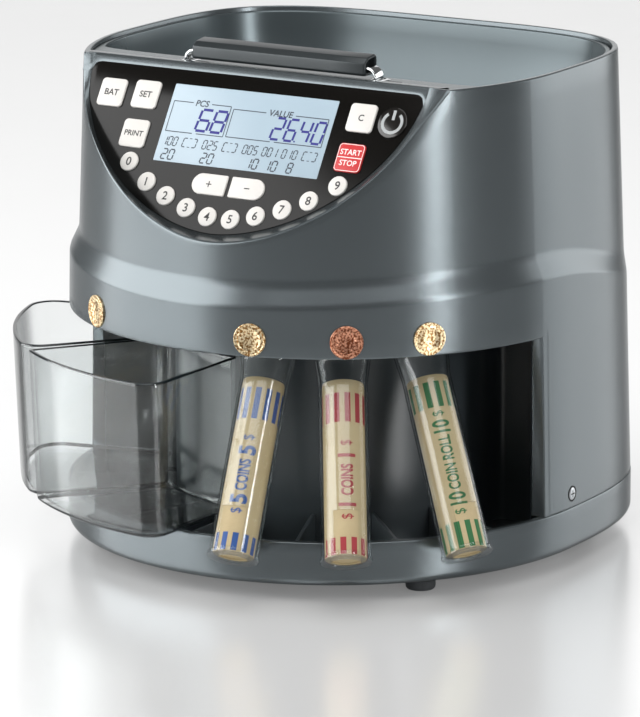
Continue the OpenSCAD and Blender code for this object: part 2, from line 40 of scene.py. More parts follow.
mm = 0.001
centre = (8.77, 17.76)  # where the machine's round front is centred on the table, mm
quarter = pi / 2


def toLinear(hexCode):
    channels = [int(hexCode[i:i + 2], 16) / 255 for i in (1, 3, 5)]
    return [c / 12.92 if c <= 0.04045 else ((c + 0.055) / 1.055) ** 2.4 for c in channels] + [1.0]


def addNode(material, kind, settings=None, links=None):
    # settings with a name in lower case belong to the node, the others and the numbers to its sockets
    node = material.node_tree.nodes.new("ShaderNode" + kind)
    for key, value in (settings or {}).items():
        if isinstance(key, str) and key[0].islower():
            setattr(node, key, value)
        else:
            node.inputs[key].default_value = value
    for key, source in (links or {}).items():
        socket = source if hasattr(source, "is_output") else source.outputs[0]
        material.node_tree.links.new(socket, node.inputs[key])
    return node


def newMaterial(name):
    material = bpy.data.materials.new(name)
    material.use_nodes = True
    material.node_tree.nodes.clear()
    return material


def output(material, shader):
    addNode(material, "OutputMaterial", {}, {"Surface": shader})
    return material


def finish(name, low, high, grain, bump, settings, patch=60.0):
    # a plain finish: two close shades in soft patches, and a fine grain that also lifts the surface
    material = newMaterial(name)
    place = addNode(material, "TexCoord").outputs["Object"]
    cloud = addNode(material, "TexNoise", {"Scale": 1000 / patch, "Detail": 3.0}, {"Vector": place})
    shade = addNode(material, "Mix", {"data_type": "RGBA", 6: toLinear(low), 7: toLinear(high)}, {0: cloud})
    fine = addNode(material, "TexNoise", {"Scale": 1000 / grain, "Detail": 2.0}, {"Vector": place})
    lift = addNode(material, "Bump", {"Strength": bump, "Distance": 0.1 * mm}, {"Height": fine})
    return output(material, addNode(material, "BsdfPrincipled", settings,
                                    {"Base Color": shade.outputs[2], "Normal": lift}))


def brushedMetal(name, shade, rough, axis, spacing):
    # fine lines one way: the noise is stretched along the brushing direction
    material = newMaterial(name)
    place = addNode(material, "TexCoord").outputs["Object"]
    stretch = [1.0, 1.0, 1.0]
    stretch[axis] = 0.04
    along = addNode(material, "Mapping", {"Scale": stretch}, {"Vector": place})
    lines = addNode(material, "TexNoise", {"Scale": 1000 / spacing, "Detail": 3.0}, {"Vector": along})
    rub = addNode(material, "MapRange", {"To Min": rough - 0.05, "To Max": rough + 0.1}, {"Value": lines})
    lift = addNode(material, "Bump", {"Strength": 0.15, "Distance": 0.05 * mm}, {"Height": lines})
    settings = {"Base Color": toLinear(shade), "Metallic": 1.0}
    return output(material, addNode(material, "BsdfPrincipled", settings, {"Roughness": rub, "Normal": lift}))


def seeThrough(name, clear, edge, rough):
    # moulded clear styrene: walls seen square on stay light, walls that turn edge on go dark and gleam
    material = newMaterial(name)
    turned = addNode(material, "LayerWeight", {"Blend": 0.5}).outputs["Facing"]  # 0 square on, 1 edge on
    rim = addNode(material, "MapRange",
                  {"interpolation_type": "SMOOTHSTEP", "From Min": 0.6, "From Max": 0.98}, {"Value": turned})
    tint = addNode(material, "Mix", {"data_type": "RGBA", 6: toLinear(clear), 7: toLinear(edge)}, {0: rim})
    through = addNode(material, "BsdfTransparent", {}, {"Color": tint.outputs[2]})
    gloss = addNode(material, "BsdfPrincipled", {"Base Color": toLinear("#fbfdfd"), "Metallic": 1.0,
                                                 "Roughness": rough})
    fifth = addNode(material, "Math", {"operation": "POWER", 1: 5.0}, {0: turned})
    share = addNode(material, "MapRange", {"To Min": 0.035, "To Max": 1.0}, {"Value": fifth})
    return output(material, addNode(material, "MixShader", {}, {0: share, 1: through, 2: gloss}))


def struckMetal(name, worn, hollow):
    # a struck coin: small relief, bright where fingers rub it and dark in the hollows
    material = newMaterial(name)
    place = addNode(material, "TexCoord").outputs["Object"]
    relief = addNode(material, "TexNoise", {"Scale": 1000 / 1.1, "Detail": 3.0}, {"Vector": place})
    worked = addNode(material, "MapRange", {"From Min": 0.42, "From Max": 0.56}, {"Value": relief})
    shade = addNode(material, "Mix", {"data_type": "RGBA", 6: toLinear(hollow), 7: toLinear(worn)},
                    {0: worked})
    lift = addNode(material, "Bump", {"Strength": 0.5, "Distance": 0.2 * mm}, {"Height": relief})
    return output(material, addNode(material, "BsdfPrincipled", {"Metallic": 0.85, "Roughness": 0.3},
                                    {"Base Color": shade.outputs[2], "Normal": lift}))


def kraftPaper(name, low, high):
    # unbleached wrapper paper: short fibres 0.1 mm wide drawn at 0.5 mm so that they show, matt and warm
    material = newMaterial(name)
    place = addNode(material, "TexCoord").outputs["Object"]
    pulp = addNode(material, "TexNoise", {"Scale": 1000 / 14, "Detail": 4.0}, {"Vector": place})
    fibre = addNode(material, "TexNoise", {"Scale": 1000 / 0.5, "Detail": 2.0}, {"Vector": place})
    shade = addNode(material, "Mix", {"data_type": "RGBA", 6: toLinear(low), 7: toLinear(high)}, {0: pulp})
    fleck = addNode(material, "Mix", {"data_type": "RGBA", "blend_type": "MULTIPLY", 0: 0.25},
                    {6: shade.outputs[2], 7: fibre})
    lift = addNode(material, "Bump", {"Strength": 0.3, "Distance": 0.1 * mm}, {"Height": fibre})
    return output(material, addNode(material, "BsdfPrincipled", {"Roughness": 0.75},
                                    {"Base Color": fleck.outputs[2], "Normal": lift}))


# two shades, grain in mm, how much the grain lifts, then the gloss; metals keep the default IOR
finishes = {
    # painted ABS: metallic slate paint, satin, so a broad soft light runs down the wall
    "satinPaint": finish("satin slate paint on ABS", "#5f6669", "#656c6f", 0.6, 0.10,
                         {"Metallic": 0.75, "Roughness": 0.26, "IOR": 1.5, "Coat Weight": 0.12,
                          "Coat Roughness": 0.2}),
    # moulded ABS of the inner bay: darker, even sheen
    "bayAbs": finish("dark moulded ABS", "#31373a", "#383e41", 0.8, 0.12, {"Roughness": 0.3, "IOR": 1.6}),
    # moulded ABS of the hopper: the body's shade with less metal flake
    "hopperAbs": finish("moulded slate ABS", "#535c5f", "#5a6366", 0.8, 0.10,
                        {"Metallic": 0.6, "Roughness": 0.27, "IOR": 1.53}),
    # acrylic sheet printed black from behind: deep black and a sharp gloss
    "blackAcrylic": finish("black acrylic", "#0b0a08", "#0f0d0b", 3.0, 0.01,
                           {"Roughness": 0.16, "IOR": 1.49, "Specular IOR Level": 0.2}),
    # silicone-coated keys: warm white or red, soft sheen
    "whiteKey": finish("white silicone", "#cfccc7", "#d5d2ce", 0.5, 0.06, {"Roughness": 0.42, "IOR": 1.43}),
    "redKey": finish("red silicone", "#b8282a", "#c03031", 0.5, 0.06, {"Roughness": 0.4, "IOR": 1.43}),
    # moulded ABS of the power button: sharp gloss on black
    "blackButton": finish("glossy black ABS", "#141210", "#191715", 2.0, 0.02,
                          {"Roughness": 0.14, "IOR": 1.53}),
    # lit display film: pale blue, slightly uneven backlight
    "displayFilm": finish("display film", "#9badb9", "#a4b5c0", 2.0, 0.01,
                          {"Roughness": 0.22, "IOR": 1.49}, 40.0),
    # printed inks: flat and matt, hardly any grain
    "greyInk": finish("grey display ink", "#2b333d", "#323b46", 1.0, 0.0, {"Roughness": 0.4}),
    "navyInk": finish("navy display ink", "#0d0d6e", "#13137c", 1.0, 0.0, {"Roughness": 0.4}),
    "legendInk": finish("dark legend ink", "#1d1c1d", "#242324", 1.0, 0.0, {"Roughness": 0.5}),
    "paleInk": finish("pale legend ink", "#f6d9d6", "#fbe4e0", 1.0, 0.0, {"Roughness": 0.5}),
    # stamped foil of the power symbol: a dull silver gleam
    "symbolMetal": finish("hot foil", "#a9acad", "#b4b7b8", 1.0, 0.02, {"Metallic": 0.6, "Roughness": 0.3}),
    # chromed steel strap: near mirror with a slight haze
    "chrome": finish("chromed steel", "#d6d9da", "#e2e4e5", 4.0, 0.02, {"Metallic": 1.0, "Roughness": 0.12}),
    # turned steel: fine rings that spread the light
    "steel": brushedMetal("turned steel", "#b9bdc0", 0.3, 2, 0.4),
    # spun aluminium of the disc: fine turning lines drawn coarser than they are so that they show
    "aluminium": brushedMetal("brushed aluminium", "#c9ccce", 0.32, 0, 0.7),
    # soft touch grip: darker than the body, broad highlight
    "gripAbs": finish("soft touch ABS", "#2f3436", "#34393b", 0.7, 0.10, {"Metallic": 0.4, "Roughness": 0.3}),
    "clearStyrene": seeThrough("clear styrene", "#fcfdfd", "#59656a", 0.08),
    "smokeStyrene": seeThrough("smoke styrene", "#fafbfb", "#232a2d", 0.06),
    # epoxy board under green lacquer: satin, with the traces just lifting it
    "circuitBoard": finish("green solder mask", "#20563a", "#2a6646", 2.0, 0.1, {"Roughness": 0.35}, 8.0),
    # rolled and zinc-plated sheet: grey lines one way
    "zincPlate": brushedMetal("zinc plated steel", "#9a9ea1", 0.38, 0, 1.2),
    "blueInk": finish("blue print", "#17427e", "#1f4c8c", 1.0, 0.02, {"Roughness": 0.6}),
    "redInk": finish("red print", "#8d1f28", "#9b2931", 1.0, 0.02, {"Roughness": 0.6}),
    "greenInk": finish("green print", "#18592b", "#206535", 1.0, 0.02, {"Roughness": 0.6}),
    # moulded rubber feet: matt, slightly rough
    "rubber": finish("grey rubber", "#3b3e40", "#44474a", 0.6, 0.2, {"Roughness": 0.7}),
    # painted shade and painted shadow: near-black for the inside of slots and recesses and for shadows cast
    # beside parts
    "shadowGap": finish("gap in shadow", "#0b0c0d", "#101112", 1.0, 0.0, {"Roughness": 0.8}),
    "kraft": kraftPaper("kraft paper", "#b7a37b", "#c6b48d"),
    "brass": struckMetal("struck brass", "#f0dcb4", "#8c6331"),
    "copper": struckMetal("struck copper", "#e0a284", "#7c4026"),
    # painted shade on the smoke bins' cut lip and foot edge: nearly black with a sharp gloss
    "paintedShadeEdge": finish("painted shade on cut edge of smoke styrene", "#161c1f", "#1b2225", 1.0, 0.0,
                        {"Roughness": 0.12, "IOR": 1.5}),
}
print("materials made:", len(finishes))


def newShape():
    return {"verts": [], "faces": []}


def addGrid(shape, rows, wrap=False, capStart=False, capEnd=False, skip=None):
    # rows of points joined by four-sided faces; wrap closes each row on itself
    start = len(shape["verts"])
    across = len(rows[0])
    for row in rows:
        shape["verts"] += [tuple(p) for p in row]
    for j in range(len(rows) - 1):
        for i in range(across if wrap else across - 1):
            if skip and skip(j, i):
                continue
            a = start + j * across + i
            b = start + j * across + (i + 1) % across
            shape["faces"].append((a, b, b + across, a + across))
    if capStart:
        shape["faces"].append(tuple(range(start + across - 1, start - 1, -1)))
    if capEnd:
        last = start + (len(rows) - 1) * across
        shape["faces"].append(tuple(range(last, last + across)))
    return start


def joinShape(target, extra, dx=0.0, dy=0.0, dz=0.0, slant=0.0):
    start = len(target["verts"])
    target["verts"] += [(x + dx + slant * y, y + dy, z + dz) for x, y, z in extra["verts"]]
    target["faces"] += [tuple(start + i for i in face) for face in extra["faces"]]


def makePiece(name, shape, material, body="machine", where=None, sharp=38, replaced=(), mend=True):
    # points are in mm round the machine's own centre line, or in the frame that where gives
    mesh = bpy.data.meshes.new(name)
    turned = where or Matrix.Identity(4)
    points = [turned @ Vector(p) for p in shape["verts"]]
    mesh.from_pydata([((p.x + centre[0]) * mm, (p.y + centre[1]) * mm, p.z * mm) for p in points], [],
                     shape["faces"])
    work = bmesh.new()
    work.from_mesh(mesh)
    bmesh.ops.remove_doubles(work, verts=work.verts, dist=0.002 * mm)
    if mend:
        bmesh.ops.recalc_face_normals(work, faces=work.faces)
    for face in work.faces:
        face.smooth = True
    for edge in work.edges:
        if len(edge.link_faces) == 2 and edge.calc_face_angle(0) > radians(sharp):
            edge.smooth = False
    work.to_mesh(mesh)
    work.free()
    mesh.materials.append(finishes[material])
    piece = bpy.data.objects.new(name, mesh)
    bpy.context.scene.collection.objects.link(piece)
    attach(piece, body)
    if replaced:
        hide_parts(*replaced)


def mix(a, b, t):
    return tuple(p + (q - p) * t for p, q in zip(a, b))


def mixRows(a, b, t):
    return [mix(p, q, t) for p, q in zip(a, b)]


def around(az, r, z):
    # a point at a bearing from the front
    return (r * sin(az), -r * cos(az), z)


def atHeight(loop, z):
    return [(x, y, z) for x, y in loop]


def edgeSteps(radius, steps=3):
    # a quarter round as (inset, drop) pairs, from the flat top out to the side
    return [(radius * (1 - sin(t * quarter / steps)), radius * (1 - cos(t * quarter / steps)))
            for t in range(steps + 1)]


def insetLoop(loop, amount):
    # moves each corner of a closed outline inwards; the outline runs anticlockwise
    moved = []
    for i, p in enumerate(loop):
        before, after = loop[i - 1], loop[(i + 1) % len(loop)]
        d1 = Vector((p[0] - before[0], p[1] - before[1])).normalized()
        d2 = Vector((after[0] - p[0], after[1] - p[1])).normalized()
        side = Vector((-d1.y, d1.x))
        n = Vector((-(d1.y + d2.y), d1.x + d2.x))
        n = n.normalized() if n.length > 1e-6 else side
        reach = amount / max(0.5, n.dot(side))
        moved.append((p[0] + n.x * reach, p[1] + n.y * reach))
    return moved


def addPad(shape, loop, low, high, edge, lowEdge=0.0):
    # a flat-topped block on an outline, its upper edge rounded by edge and its lower one by lowEdge
    rows = [atHeight(insetLoop(loop, inset), low + drop) for inset, drop in edgeSteps(lowEdge)] if lowEdge \
        else [atHeight(loop, low)]
    rows += [atHeight(insetLoop(loop, inset), high - drop) for inset, drop in reversed(edgeSteps(edge))]
    addGrid(shape, rows, wrap=True, capStart=True, capEnd=True)


def circleLoop(radius, steps=48, x=0.0, y=0.0):
    angles = [2 * pi * i / steps for i in range(steps)]
    return [(x + radius * cos(a), y + radius * sin(a)) for a in angles]


def roundedBox(width, height, radius, steps=6, x=0.0, y=0.0):
    loop = []
    for k, (sx, sy) in enumerate([(1, 1), (-1, 1), (-1, -1), (1, -1)]):
        for i in range(steps + 1):
            t = quarter * (k + i / steps)
            loop.append((x + sx * (width / 2 - radius) + radius * cos(t),
                         y + sy * (height / 2 - radius) + radius * sin(t)))
    return loop


def lathe(shape, profile, steps=64, x=0.0, y=0.0, capStart=True, capEnd=True):
    # profile of (radius, height) pairs turned about an upright line
    rows = [atHeight(circleLoop(r, steps, x, y), z) for r, z in profile]
    addGrid(shape, rows, wrap=True, capStart=capStart, capEnd=capEnd)


def splinePoints(points, per):
    # an even curve through the given points
    out = []
    for i in range(len(points) - 1):
        near = list(zip(points[max(0, i - 1)], points[i], points[i + 1], points[min(len(points) - 1, i + 2)]))
        for k in range(per):
            t = k / per
            out.append(tuple(0.5 * (2 * b + (c - a) * t + (2 * a - 5 * b + 4 * c - d) * t * t
                                    + (3 * b - a - 3 * c + d) * t ** 3) for a, b, c, d in near))
    out.append(tuple(points[-1]))
    return out


def bend(a, corner, b, steps=4):
    # a rounded corner from a to b
    return [tuple((1 - t) ** 2 * p + 2 * t * (1 - t) * q + t * t * r for p, q, r in zip(a, corner, b))
            for t in [k / steps for k in range(steps + 1)]]


def evenAlong(points, count):
    # count points evenly along a line of points
    lengths = [0.0]
    for a, b in zip(points, points[1:]):
        lengths.append(lengths[-1] + (Vector(b) - Vector(a)).length)
    out = []
    j = 0
    for k in range(count):
        target = lengths[-1] * k / (count - 1)
        while j < len(points) - 2 and lengths[j + 1] < target:
            j += 1
        t = (target - lengths[j]) / max(1e-9, lengths[j + 1] - lengths[j])
        out.append(mix(points[j], points[j + 1], t))
    return out


housing = {
    "height": 266.0,  # rim above the table
    # half width, depth behind the centre, squareness
    "rim": (135.3, 124.0, 3.8),
    "waist": (139.2, 127.0, 3.8),  # upper edge of the flare
    "flare": (144.5, 139.0, 3.0),  # lower edge of the flare
    "foot": (147.2, 142.0, 3.0),
    "heights": (166.2, 155.4, 32.0),  # waist, flare and foot at the front
    "arch": (-25.0, 113.0, 150.0, 5.3, 21.0),  # crest of the flare, its run ahead and behind, rise, fall
    "waistRound": 2.6,  # softness of the hollow above the flare
    "flareRound": 1.6,  # softness of the edge below the flare
    "skirt": 129.2,  # lower edge of the skirt over the bay
    # the skirt's rounded edge and inside, as height and inset
    "skirtEdge": ((129.55, 0.12), (129.25, 0.5), (129.2, 1.0), (129.2, 2.4), (129.5, 2.9), (131, 3.0),
                  (150, 3.0)),
    "wall": 3.0,
    "lipDeep": 14.0,  # how far the rim's inner face runs down
    "jambFront": -25.5,  # the bay's side edges
    "jambIn": 136.2,
    "inlet": (-46.0, -18.0),  # sides of the opening in the rear wall
    "inletAt": 71.0,
}

panel = {
    "top": 71.8,  # how far the panel's top edge is ahead of the centre
    "tilt": radians(31.9),  # slope from the upright
    "middle": -3.0,  # sideways place of the black sheet's outline
    "half": 103.5,
    "gap": 4.5,  # strip of housing above the black sheet
    "height": 93.5,
    "bulge": 1.8,  # 2 is an ellipse, less is more pointed
    "corner": 6.0,
    "deep": -2.6,  # how far the edges run in behind the sheet
    "back": -66.0,  # rear edge of the strip over the panel
    # the edge where the wall stops round the panel: across, height
    "opening": [(-113.4, 266), (-111.9, 257.5), (-107.0, 247.6), (-99.6, 240.2), (-91.5, 232.8), (-83, 226),
                (-74.6, 219.6), (-65.6, 213), (-54.5, 206.2), (-41.8, 199.6), (-29.1, 194.3), (-17.3, 190.5),
                (-6.3, 188.1), (4, 187.1), (13.8, 187.2), (23.2, 188.3), (32.1, 190.1), (40.7, 192.6),
                (49, 195.8), (56.9, 199.6), (64.5, 203.8), (70.9, 208), (77.9, 213.7), (84.7, 220.2),
                (91.2, 227.7), (97.3, 236.3), (102.6, 245.4), (106.6, 252.8), (110.2, 259), (113.8, 266)],
}


def planRadius(az, width, depth, squareness, front=0, sharp=1):
    # round in front of the centre, squarer behind it, cut flat where front is given; az is 0 at the front
    if cos(az) >= 0:
        r = width
    else:
        r = ((abs(sin(az)) / width) ** squareness + (abs(cos(az)) / depth) ** squareness) ** (-1 / squareness)
    if front and cos(az) > 0.02:
        return (r ** -sharp + (front / cos(az)) ** -sharp) ** (-1 / sharp)
    return r


def planLoop(plan, z, inset=0.0, steps=180):
    angles = [2 * pi * i / steps for i in range(steps)]
    return [around(az, planRadius(az, *plan) - inset, z) for az in angles]


def archRise(y):
    # the flare rises from the front to the sides and falls to the rear
    crest, runAhead, runBehind, rise, fall = housing["arch"]
    ahead = min(max((crest - y) / runAhead, 0), 1.1)
    behind = min(max((y - crest) / runBehind, 0), 1)
    return rise * (1 - ahead ** 2) - fall * (1 - cos(pi * behind)) / 2


def softRamp(x, h):
    if x <= -h:
        return 0.0
    return x if x >= h else (x + h) ** 2 / (4 * h)


def flareHeights(az):
    return [height + archRise(-planRadius(az, *housing[level]) * cos(az))
            for level, height in zip(("waist", "flare"), housing["heights"])]


def wallRadius(az, z):
    h = housing
    radii = [planRadius(az, *h[k]) for k in ("rim", "waist", "flare", "foot")]
    high, low = flareHeights(az)
    s0 = (radii[1] - radii[0]) / (h["height"] - high)
    s1 = (radii[2] - radii[1]) / (high - low)
    s2 = (radii[3] - radii[2]) / (low - h["heights"][2])
    return (radii[0] + s0 * (h["height"] - z) + (s1 - s0) * softRamp(high - z, h["waistRound"])
            + (s2 - s1) * softRamp(low - z, h["flareRound"]))


def wallPoint(az, z, inset=0.0):
    return around(az, wallRadius(az, z) - inset, z)


def rearInletAngle(x):
    az = pi + asin(x / housing["foot"][1])
    for _ in range(6):
        az = pi - asin(x / wallRadius(az, housing["inletAt"]))
    return az - 2 * pi if az > pi else az


def panelPoint(x, q, lift=0.0):
    # q runs down the slope from the rim, lift stands out of the panel
    s, c = sin(panel["tilt"]), cos(panel["tilt"])
    return (x, -panel["top"] - s * q - c * lift, housing["height"] - c * q + s * lift)


def onPanel(x, q):
    # frame on the panel: x to the right, y up the slope, z out of it
    return Matrix.Translation(Vector(panelPoint(x, q))) @ Matrix.Rotation(quarter - panel["tilt"], 4, "X")


def sheetEdge(t):
    # the black sheet's curved edge from left to right, t from 0 to pi, as x and distance down the slope
    power = 2 / panel["bulge"]
    side = 1 if cos(t) > 0 else -1
    return (panel["middle"] - panel["half"] * side * abs(cos(t)) ** power,
            panel["gap"] + (panel["height"] - panel["gap"]) * abs(sin(t)) ** power)


def headerLow(x):
    # lower edge of the strip above the black sheet, with the sheet's two rounded corners
    gap, corner = panel["gap"], panel["corner"]
    over = min(abs(x - panel["middle"]) - (panel["half"] - corner), corner)
    return gap if over <= 0 else gap + corner - sqrt(corner ** 2 - over ** 2)


def panelColumns(count):
    # from behind the panel's edge over the ledge into the wall
    left, right = panel["middle"] - panel["half"], panel["middle"] + panel["half"]
    inner = [(left, 0.0), (left, 2.0)] + [sheetEdge(k / 120 * pi) for k in range(121)]
    inner = evenAlong(inner + [(right, 2.0), (right, 0.0)], count)
    outer = evenAlong(splinePoints(panel["opening"], 4), count)
    columns = []
    for (x, z), (xi, q) in zip(outer, inner):
        z = min(z, housing["height"] - 0.01)
        az = asin(x / wallRadius(asin(x / 138), z))
        az = asin(x / wallRadius(az, z))
        corner, root = Vector(wallPoint(az, z)), Vector(panelPoint(xi, q))
        reach = corner - root
        soft = min(1.6, reach.length * 0.3)
        onLedge = corner - reach.normalized() * soft
        start = root + reach.normalized() * min(0.9, reach.length * 0.2)
        before = [panelPoint(xi, q, panel["deep"])] + bend(Vector(panelPoint(xi, q, -0.9)), root, start, 2)
        before += [start.lerp(onLedge, 0.5)] + bend(onLedge, corner, Vector(wallPoint(az, z - soft)))
        columns.append((az, z - soft, before))
    return columns


def rimColumn(az):
    # up the inner face of the rim and over its rounded top
    top, t = housing["height"], housing["wall"]
    inside = Vector(wallPoint(az, top, t))
    a, b = Vector(wallPoint(az, top - 0.4, t)), Vector(wallPoint(az, top, t - 0.5))
    before = [wallPoint(az, top - housing["lipDeep"], t), a, (a + b) / 2 + (inside - (a + b) / 2) * 0.4, b,
              wallPoint(az, top, t / 2 + 0.2)]
    before += bend(wallPoint(az, top, 1.1), wallPoint(az, top), wallPoint(az, top - 1.1))
    return (az, top - 1.1, before)


def jambStrip(s, jamb, z):
    # the rounded front edge of one of the bay's sides
    outX, y, _ = wallPoint(s * jamb, z)
    front, inX = housing["jambFront"], housing["jambIn"]
    face = [(s * inX, front + 3, z)]
    face += bend((s * inX, front + 0.8, z), (s * inX, front, z), (s * (inX + 0.8), front, z), 3)
    face += bend((outX - s * 1.0, front, z), (outX - s * 0.02, front, z), (outX + s * 0.06, y + 1.0, z))
    return face + [wallPoint(s * (jamb + 0.03), z, -0.01)]


def headerStrip(x):
    # strip above the black sheet and the top of the panel wall
    top, q, back = housing["height"], headerLow(x), panel["back"]
    strip = [panelPoint(x, q, panel["deep"])]
    strip += bend(panelPoint(x, q, -0.5), panelPoint(x, q), panelPoint(x, q - 0.5), 2)
    strip += [panelPoint(x, q * 0.5 + 0.6)]
    strip += bend(panelPoint(x, 1.6), panelPoint(x, 0.03, -0.02),
                  (x * 1.002, -panel["top"] + 1.4, top - 0.02))
    return strip + [(x * 1.03, back - 0.5, top - 0.02), (x * 1.03, back, top - 0.5),
                    (x * 1.03, back, top - housing["lipDeep"])]


def housingShell():
    shape = newShape()
    wall = housing["wall"]
    columns = panelColumns(110)  # each is the angle, the height where the wall starts, the points before it
    left, right = columns[0][0], columns[-1][0]
    jamb = acos(-housing["jambFront"] / housing["foot"][0])
    hole = sorted(rearInletAngle(x) for x in housing["inlet"])
    gridAngles = [radians(a) for a in range(-178, 181, 3)]
    gridAngles = [a for a in gridAngles if a < left - 0.02 or a > right + 0.02]
    columns += [rimColumn(az) for az in gridAngles + [left - 0.004, right + 0.004, jamb, -jamb] + hole]
    columns.sort(key=lambda c: c[0])
    angles = [c[0] for c in columns]
    rows = []
    for az, start, before in columns:
        high, low = flareHeights(az)
        heights = [start + (high + 3.5 - start) * k / 8 for k in range(1, 9)]
        heights += [high + d for d in (2.2, 1.1, 0, -1.1, -2.2, -3.2)] + [(high + low) / 2]
        heights += [low + d for d in (2.6, 1.6, 0.9, 0.3, -0.3, -0.9, -1.7, -3)]
        heights += [low - 3 + (housing["skirt"] + 1.2 - low + 3) * k / 3 for k in range(1, 4)]
        rows.append(before + [wallPoint(az, z) for z in heights])
    addGrid(shape, list(zip(*rows)), wrap=True)
    last = shape["verts"][-len(rows):]
    # lower half behind the jambs, joined to the last row above it
    rearIds = [i for i, a in enumerate(angles) if abs(a) >= jamb - 1e-4]
    order = [i for i in rearIds if angles[i] > 0] + [i for i in rearIds if angles[i] < 0]
    steps = [(z, 0) for z in (129.2, 115, 100, 82, 60, 46, 33.2)]
    steps += [(32.4, 0.1), (32, 0.4), (32, wall), (40, wall)]
    rear = [[last[i] for i in order]]
    rear += [[wallPoint(angles[i], z, inset) for i in order] for z, inset in steps]

    def isInlet(j, i):
        ends = sorted((angles[order[i]], angles[order[(i + 1) % len(order)]]))
        return j == 4 and hole[0] - 1e-6 <= ends[0] and ends[1] <= hole[1] + 1e-6

    addGrid(shape, rear, skip=isInlet)
    frontIds = [i for i, a in enumerate(angles) if abs(a) <= jamb + 1e-4]
    skirt = [[last[i] for i in frontIds]]
    skirt += [[wallPoint(angles[i], z, inset) for i in frontIds] for z, inset in housing["skirtEdge"]]
    addGrid(shape, skirt)
    for s in (-1, 1):
        addGrid(shape, [jambStrip(s, jamb, z) for z in (132, 129.2, 110, 90, 70, 50, 34, 32)])
    reach = panel["half"] + 5.5
    addGrid(shape, [headerStrip(panel["middle"] - reach + 2 * reach * k / 120) for k in range(121)])
    makePiece("housingShell", shape, "satinPaint", replaced=("housing",), sharp=50)


housingShell()
print("housing made")


def arc(x, y, r, start, turn, steps):
    angles = [start + turn * k / steps for k in range(steps + 1)]
    return [(x + r * cos(a), y + r * sin(a)) for a in angles]


def sheetOutline():
    # the black sheet's outline on the panel, anticlockwise, as x and distance up the slope
    corner, low = panel["corner"], panel["gap"] + panel["corner"]
    edge = [sheetEdge(pi * k / 96) for k in range(97)]
    loop = [(x, -q) for x, q in edge if q > low - 0.2]
    for s in (1, -1):
        for k in range(9)[::s]:
            t = quarter * k / 8
            loop.append((panel["middle"] + s * (panel["half"] - corner - 0.3 + corner * cos(t)),
                         -(low - corner * sin(t))))
    return loop


sheet = newShape()
addPad(sheet, insetLoop(sheetOutline(), 0.15), -2.0, 0.0, 0.25)
makePiece("fasciaSheet", sheet, "blackAcrylic", where=onPanel(0, 0),
          replaced=("fascia",))

display = {
    "wide": 102.0,
    "tall": 44.2,
    "at": 34.6,  # middle of the window down the slope
    "line": 0.5,  # width of the drawn lines
    "lift": 0.16,  # the print stands this far over the panel
    "slant": 0.12,
    # boxes: left, right, low and top side, the gaps in the top and low side, the word and its middle
    "boxes": ((-48.7, -12.8, -4.9, 12.3, (-36.6, -25.0), (-32.0, -29.5), "PCS", (-30.8, 12.3)),
              (-11.0, 47.9, -4.6, 11.1, (9.3, 27.5), (16.5, 19.0), "VALUE", (18.3, 11.4))),
    "letters": 4.9,
    "feet": (-3.0, -12.8, -20.6),  # of the three rows of figures
    # figures are given by height, width, step and weight
    "large": (("68", -31.0, (12.0, 7.0, 9.2, 1.5)), ("26", 15.6, (12.0, 5.6, 8.3, 1.35)),
              ("40", 32.4, (12.0, 5.6, 8.3, 1.35))),
    "point": (30.5, 31.4, 0.9),  # start, end and weight
    "coins": ("100", "[]", "025", "[]", "005", "001", "010", "[]"),
    "coinStart": -48.6,
    "coinStep": (12.1, 13.0),  # after a number and after a pair of brackets
    "coinFigures": (4.9, 2.2, 3.3, 0.6),
    "counts": (("20", -46.9), ("20", -22.3), ("10", 5.6), ("10", 17.3), ("8", 31.2)),
    "countFigures": (5.6, 2.9, 4.3, 0.78),
}

glass = newShape()
addPad(glass, roundedBox(display["wide"] - 0.2, display["tall"] - 0.2, 0.5, 3), -1.4, 0.12, 0.15)
makePiece("displayWindow", glass, "displayFilm", where=onPanel(0, display["at"]),
          replaced=("lcd_glass",))


def addStroke(shape, a, b, width, z=display["lift"]):
    # a flat drawn line with square ends
    n = Vector((a[1] - b[1], b[0] - a[0])).normalized() * width / 2
    start = len(shape["verts"])
    shape["verts"] += [(p[0] + s * n.x, p[1] + s * n.y, z) for p, s in ((a, 1), (a, -1), (b, -1), (b, 1))]
    shape["faces"].append((start, start + 1, start + 2, start + 3))


segmentEnds = {"a": ((0, 1), (1, 1)), "b": ((1, 0.5), (1, 1)), "c": ((1, 0), (1, 0.5)), "d": ((0, 0), (1, 0)),
               "e": ((0, 0), (0, 0.5)), "f": ((0, 0.5), (0, 1)), "g": ((0, 0.5), (1, 0.5))}
segmentPlan = {"0": "abcdef", "1": "bc", "2": "abged", "3": "abgcd", "4": "fgbc", "5": "afgcd", "6": "afgcde",
               "7": "abc", "8": "abcdefg", "9": "abcdfg", "[": "adef", "]": "abcd"}


def addDigits(shape, text, x, y, tall, wide, step, weight):
    # seven-segment figures, x and y at the lower left of the first one
    for mark in text:
        for segment in segmentPlan[mark]:
            a, b = [Vector((x + u * wide + v * tall * display["slant"], y + v * tall))
                    for u, v in segmentEnds[segment]]
            cut = (b - a).normalized() * weight * 0.35
            addStroke(shape, a + cut, b - cut, weight)
        x += step


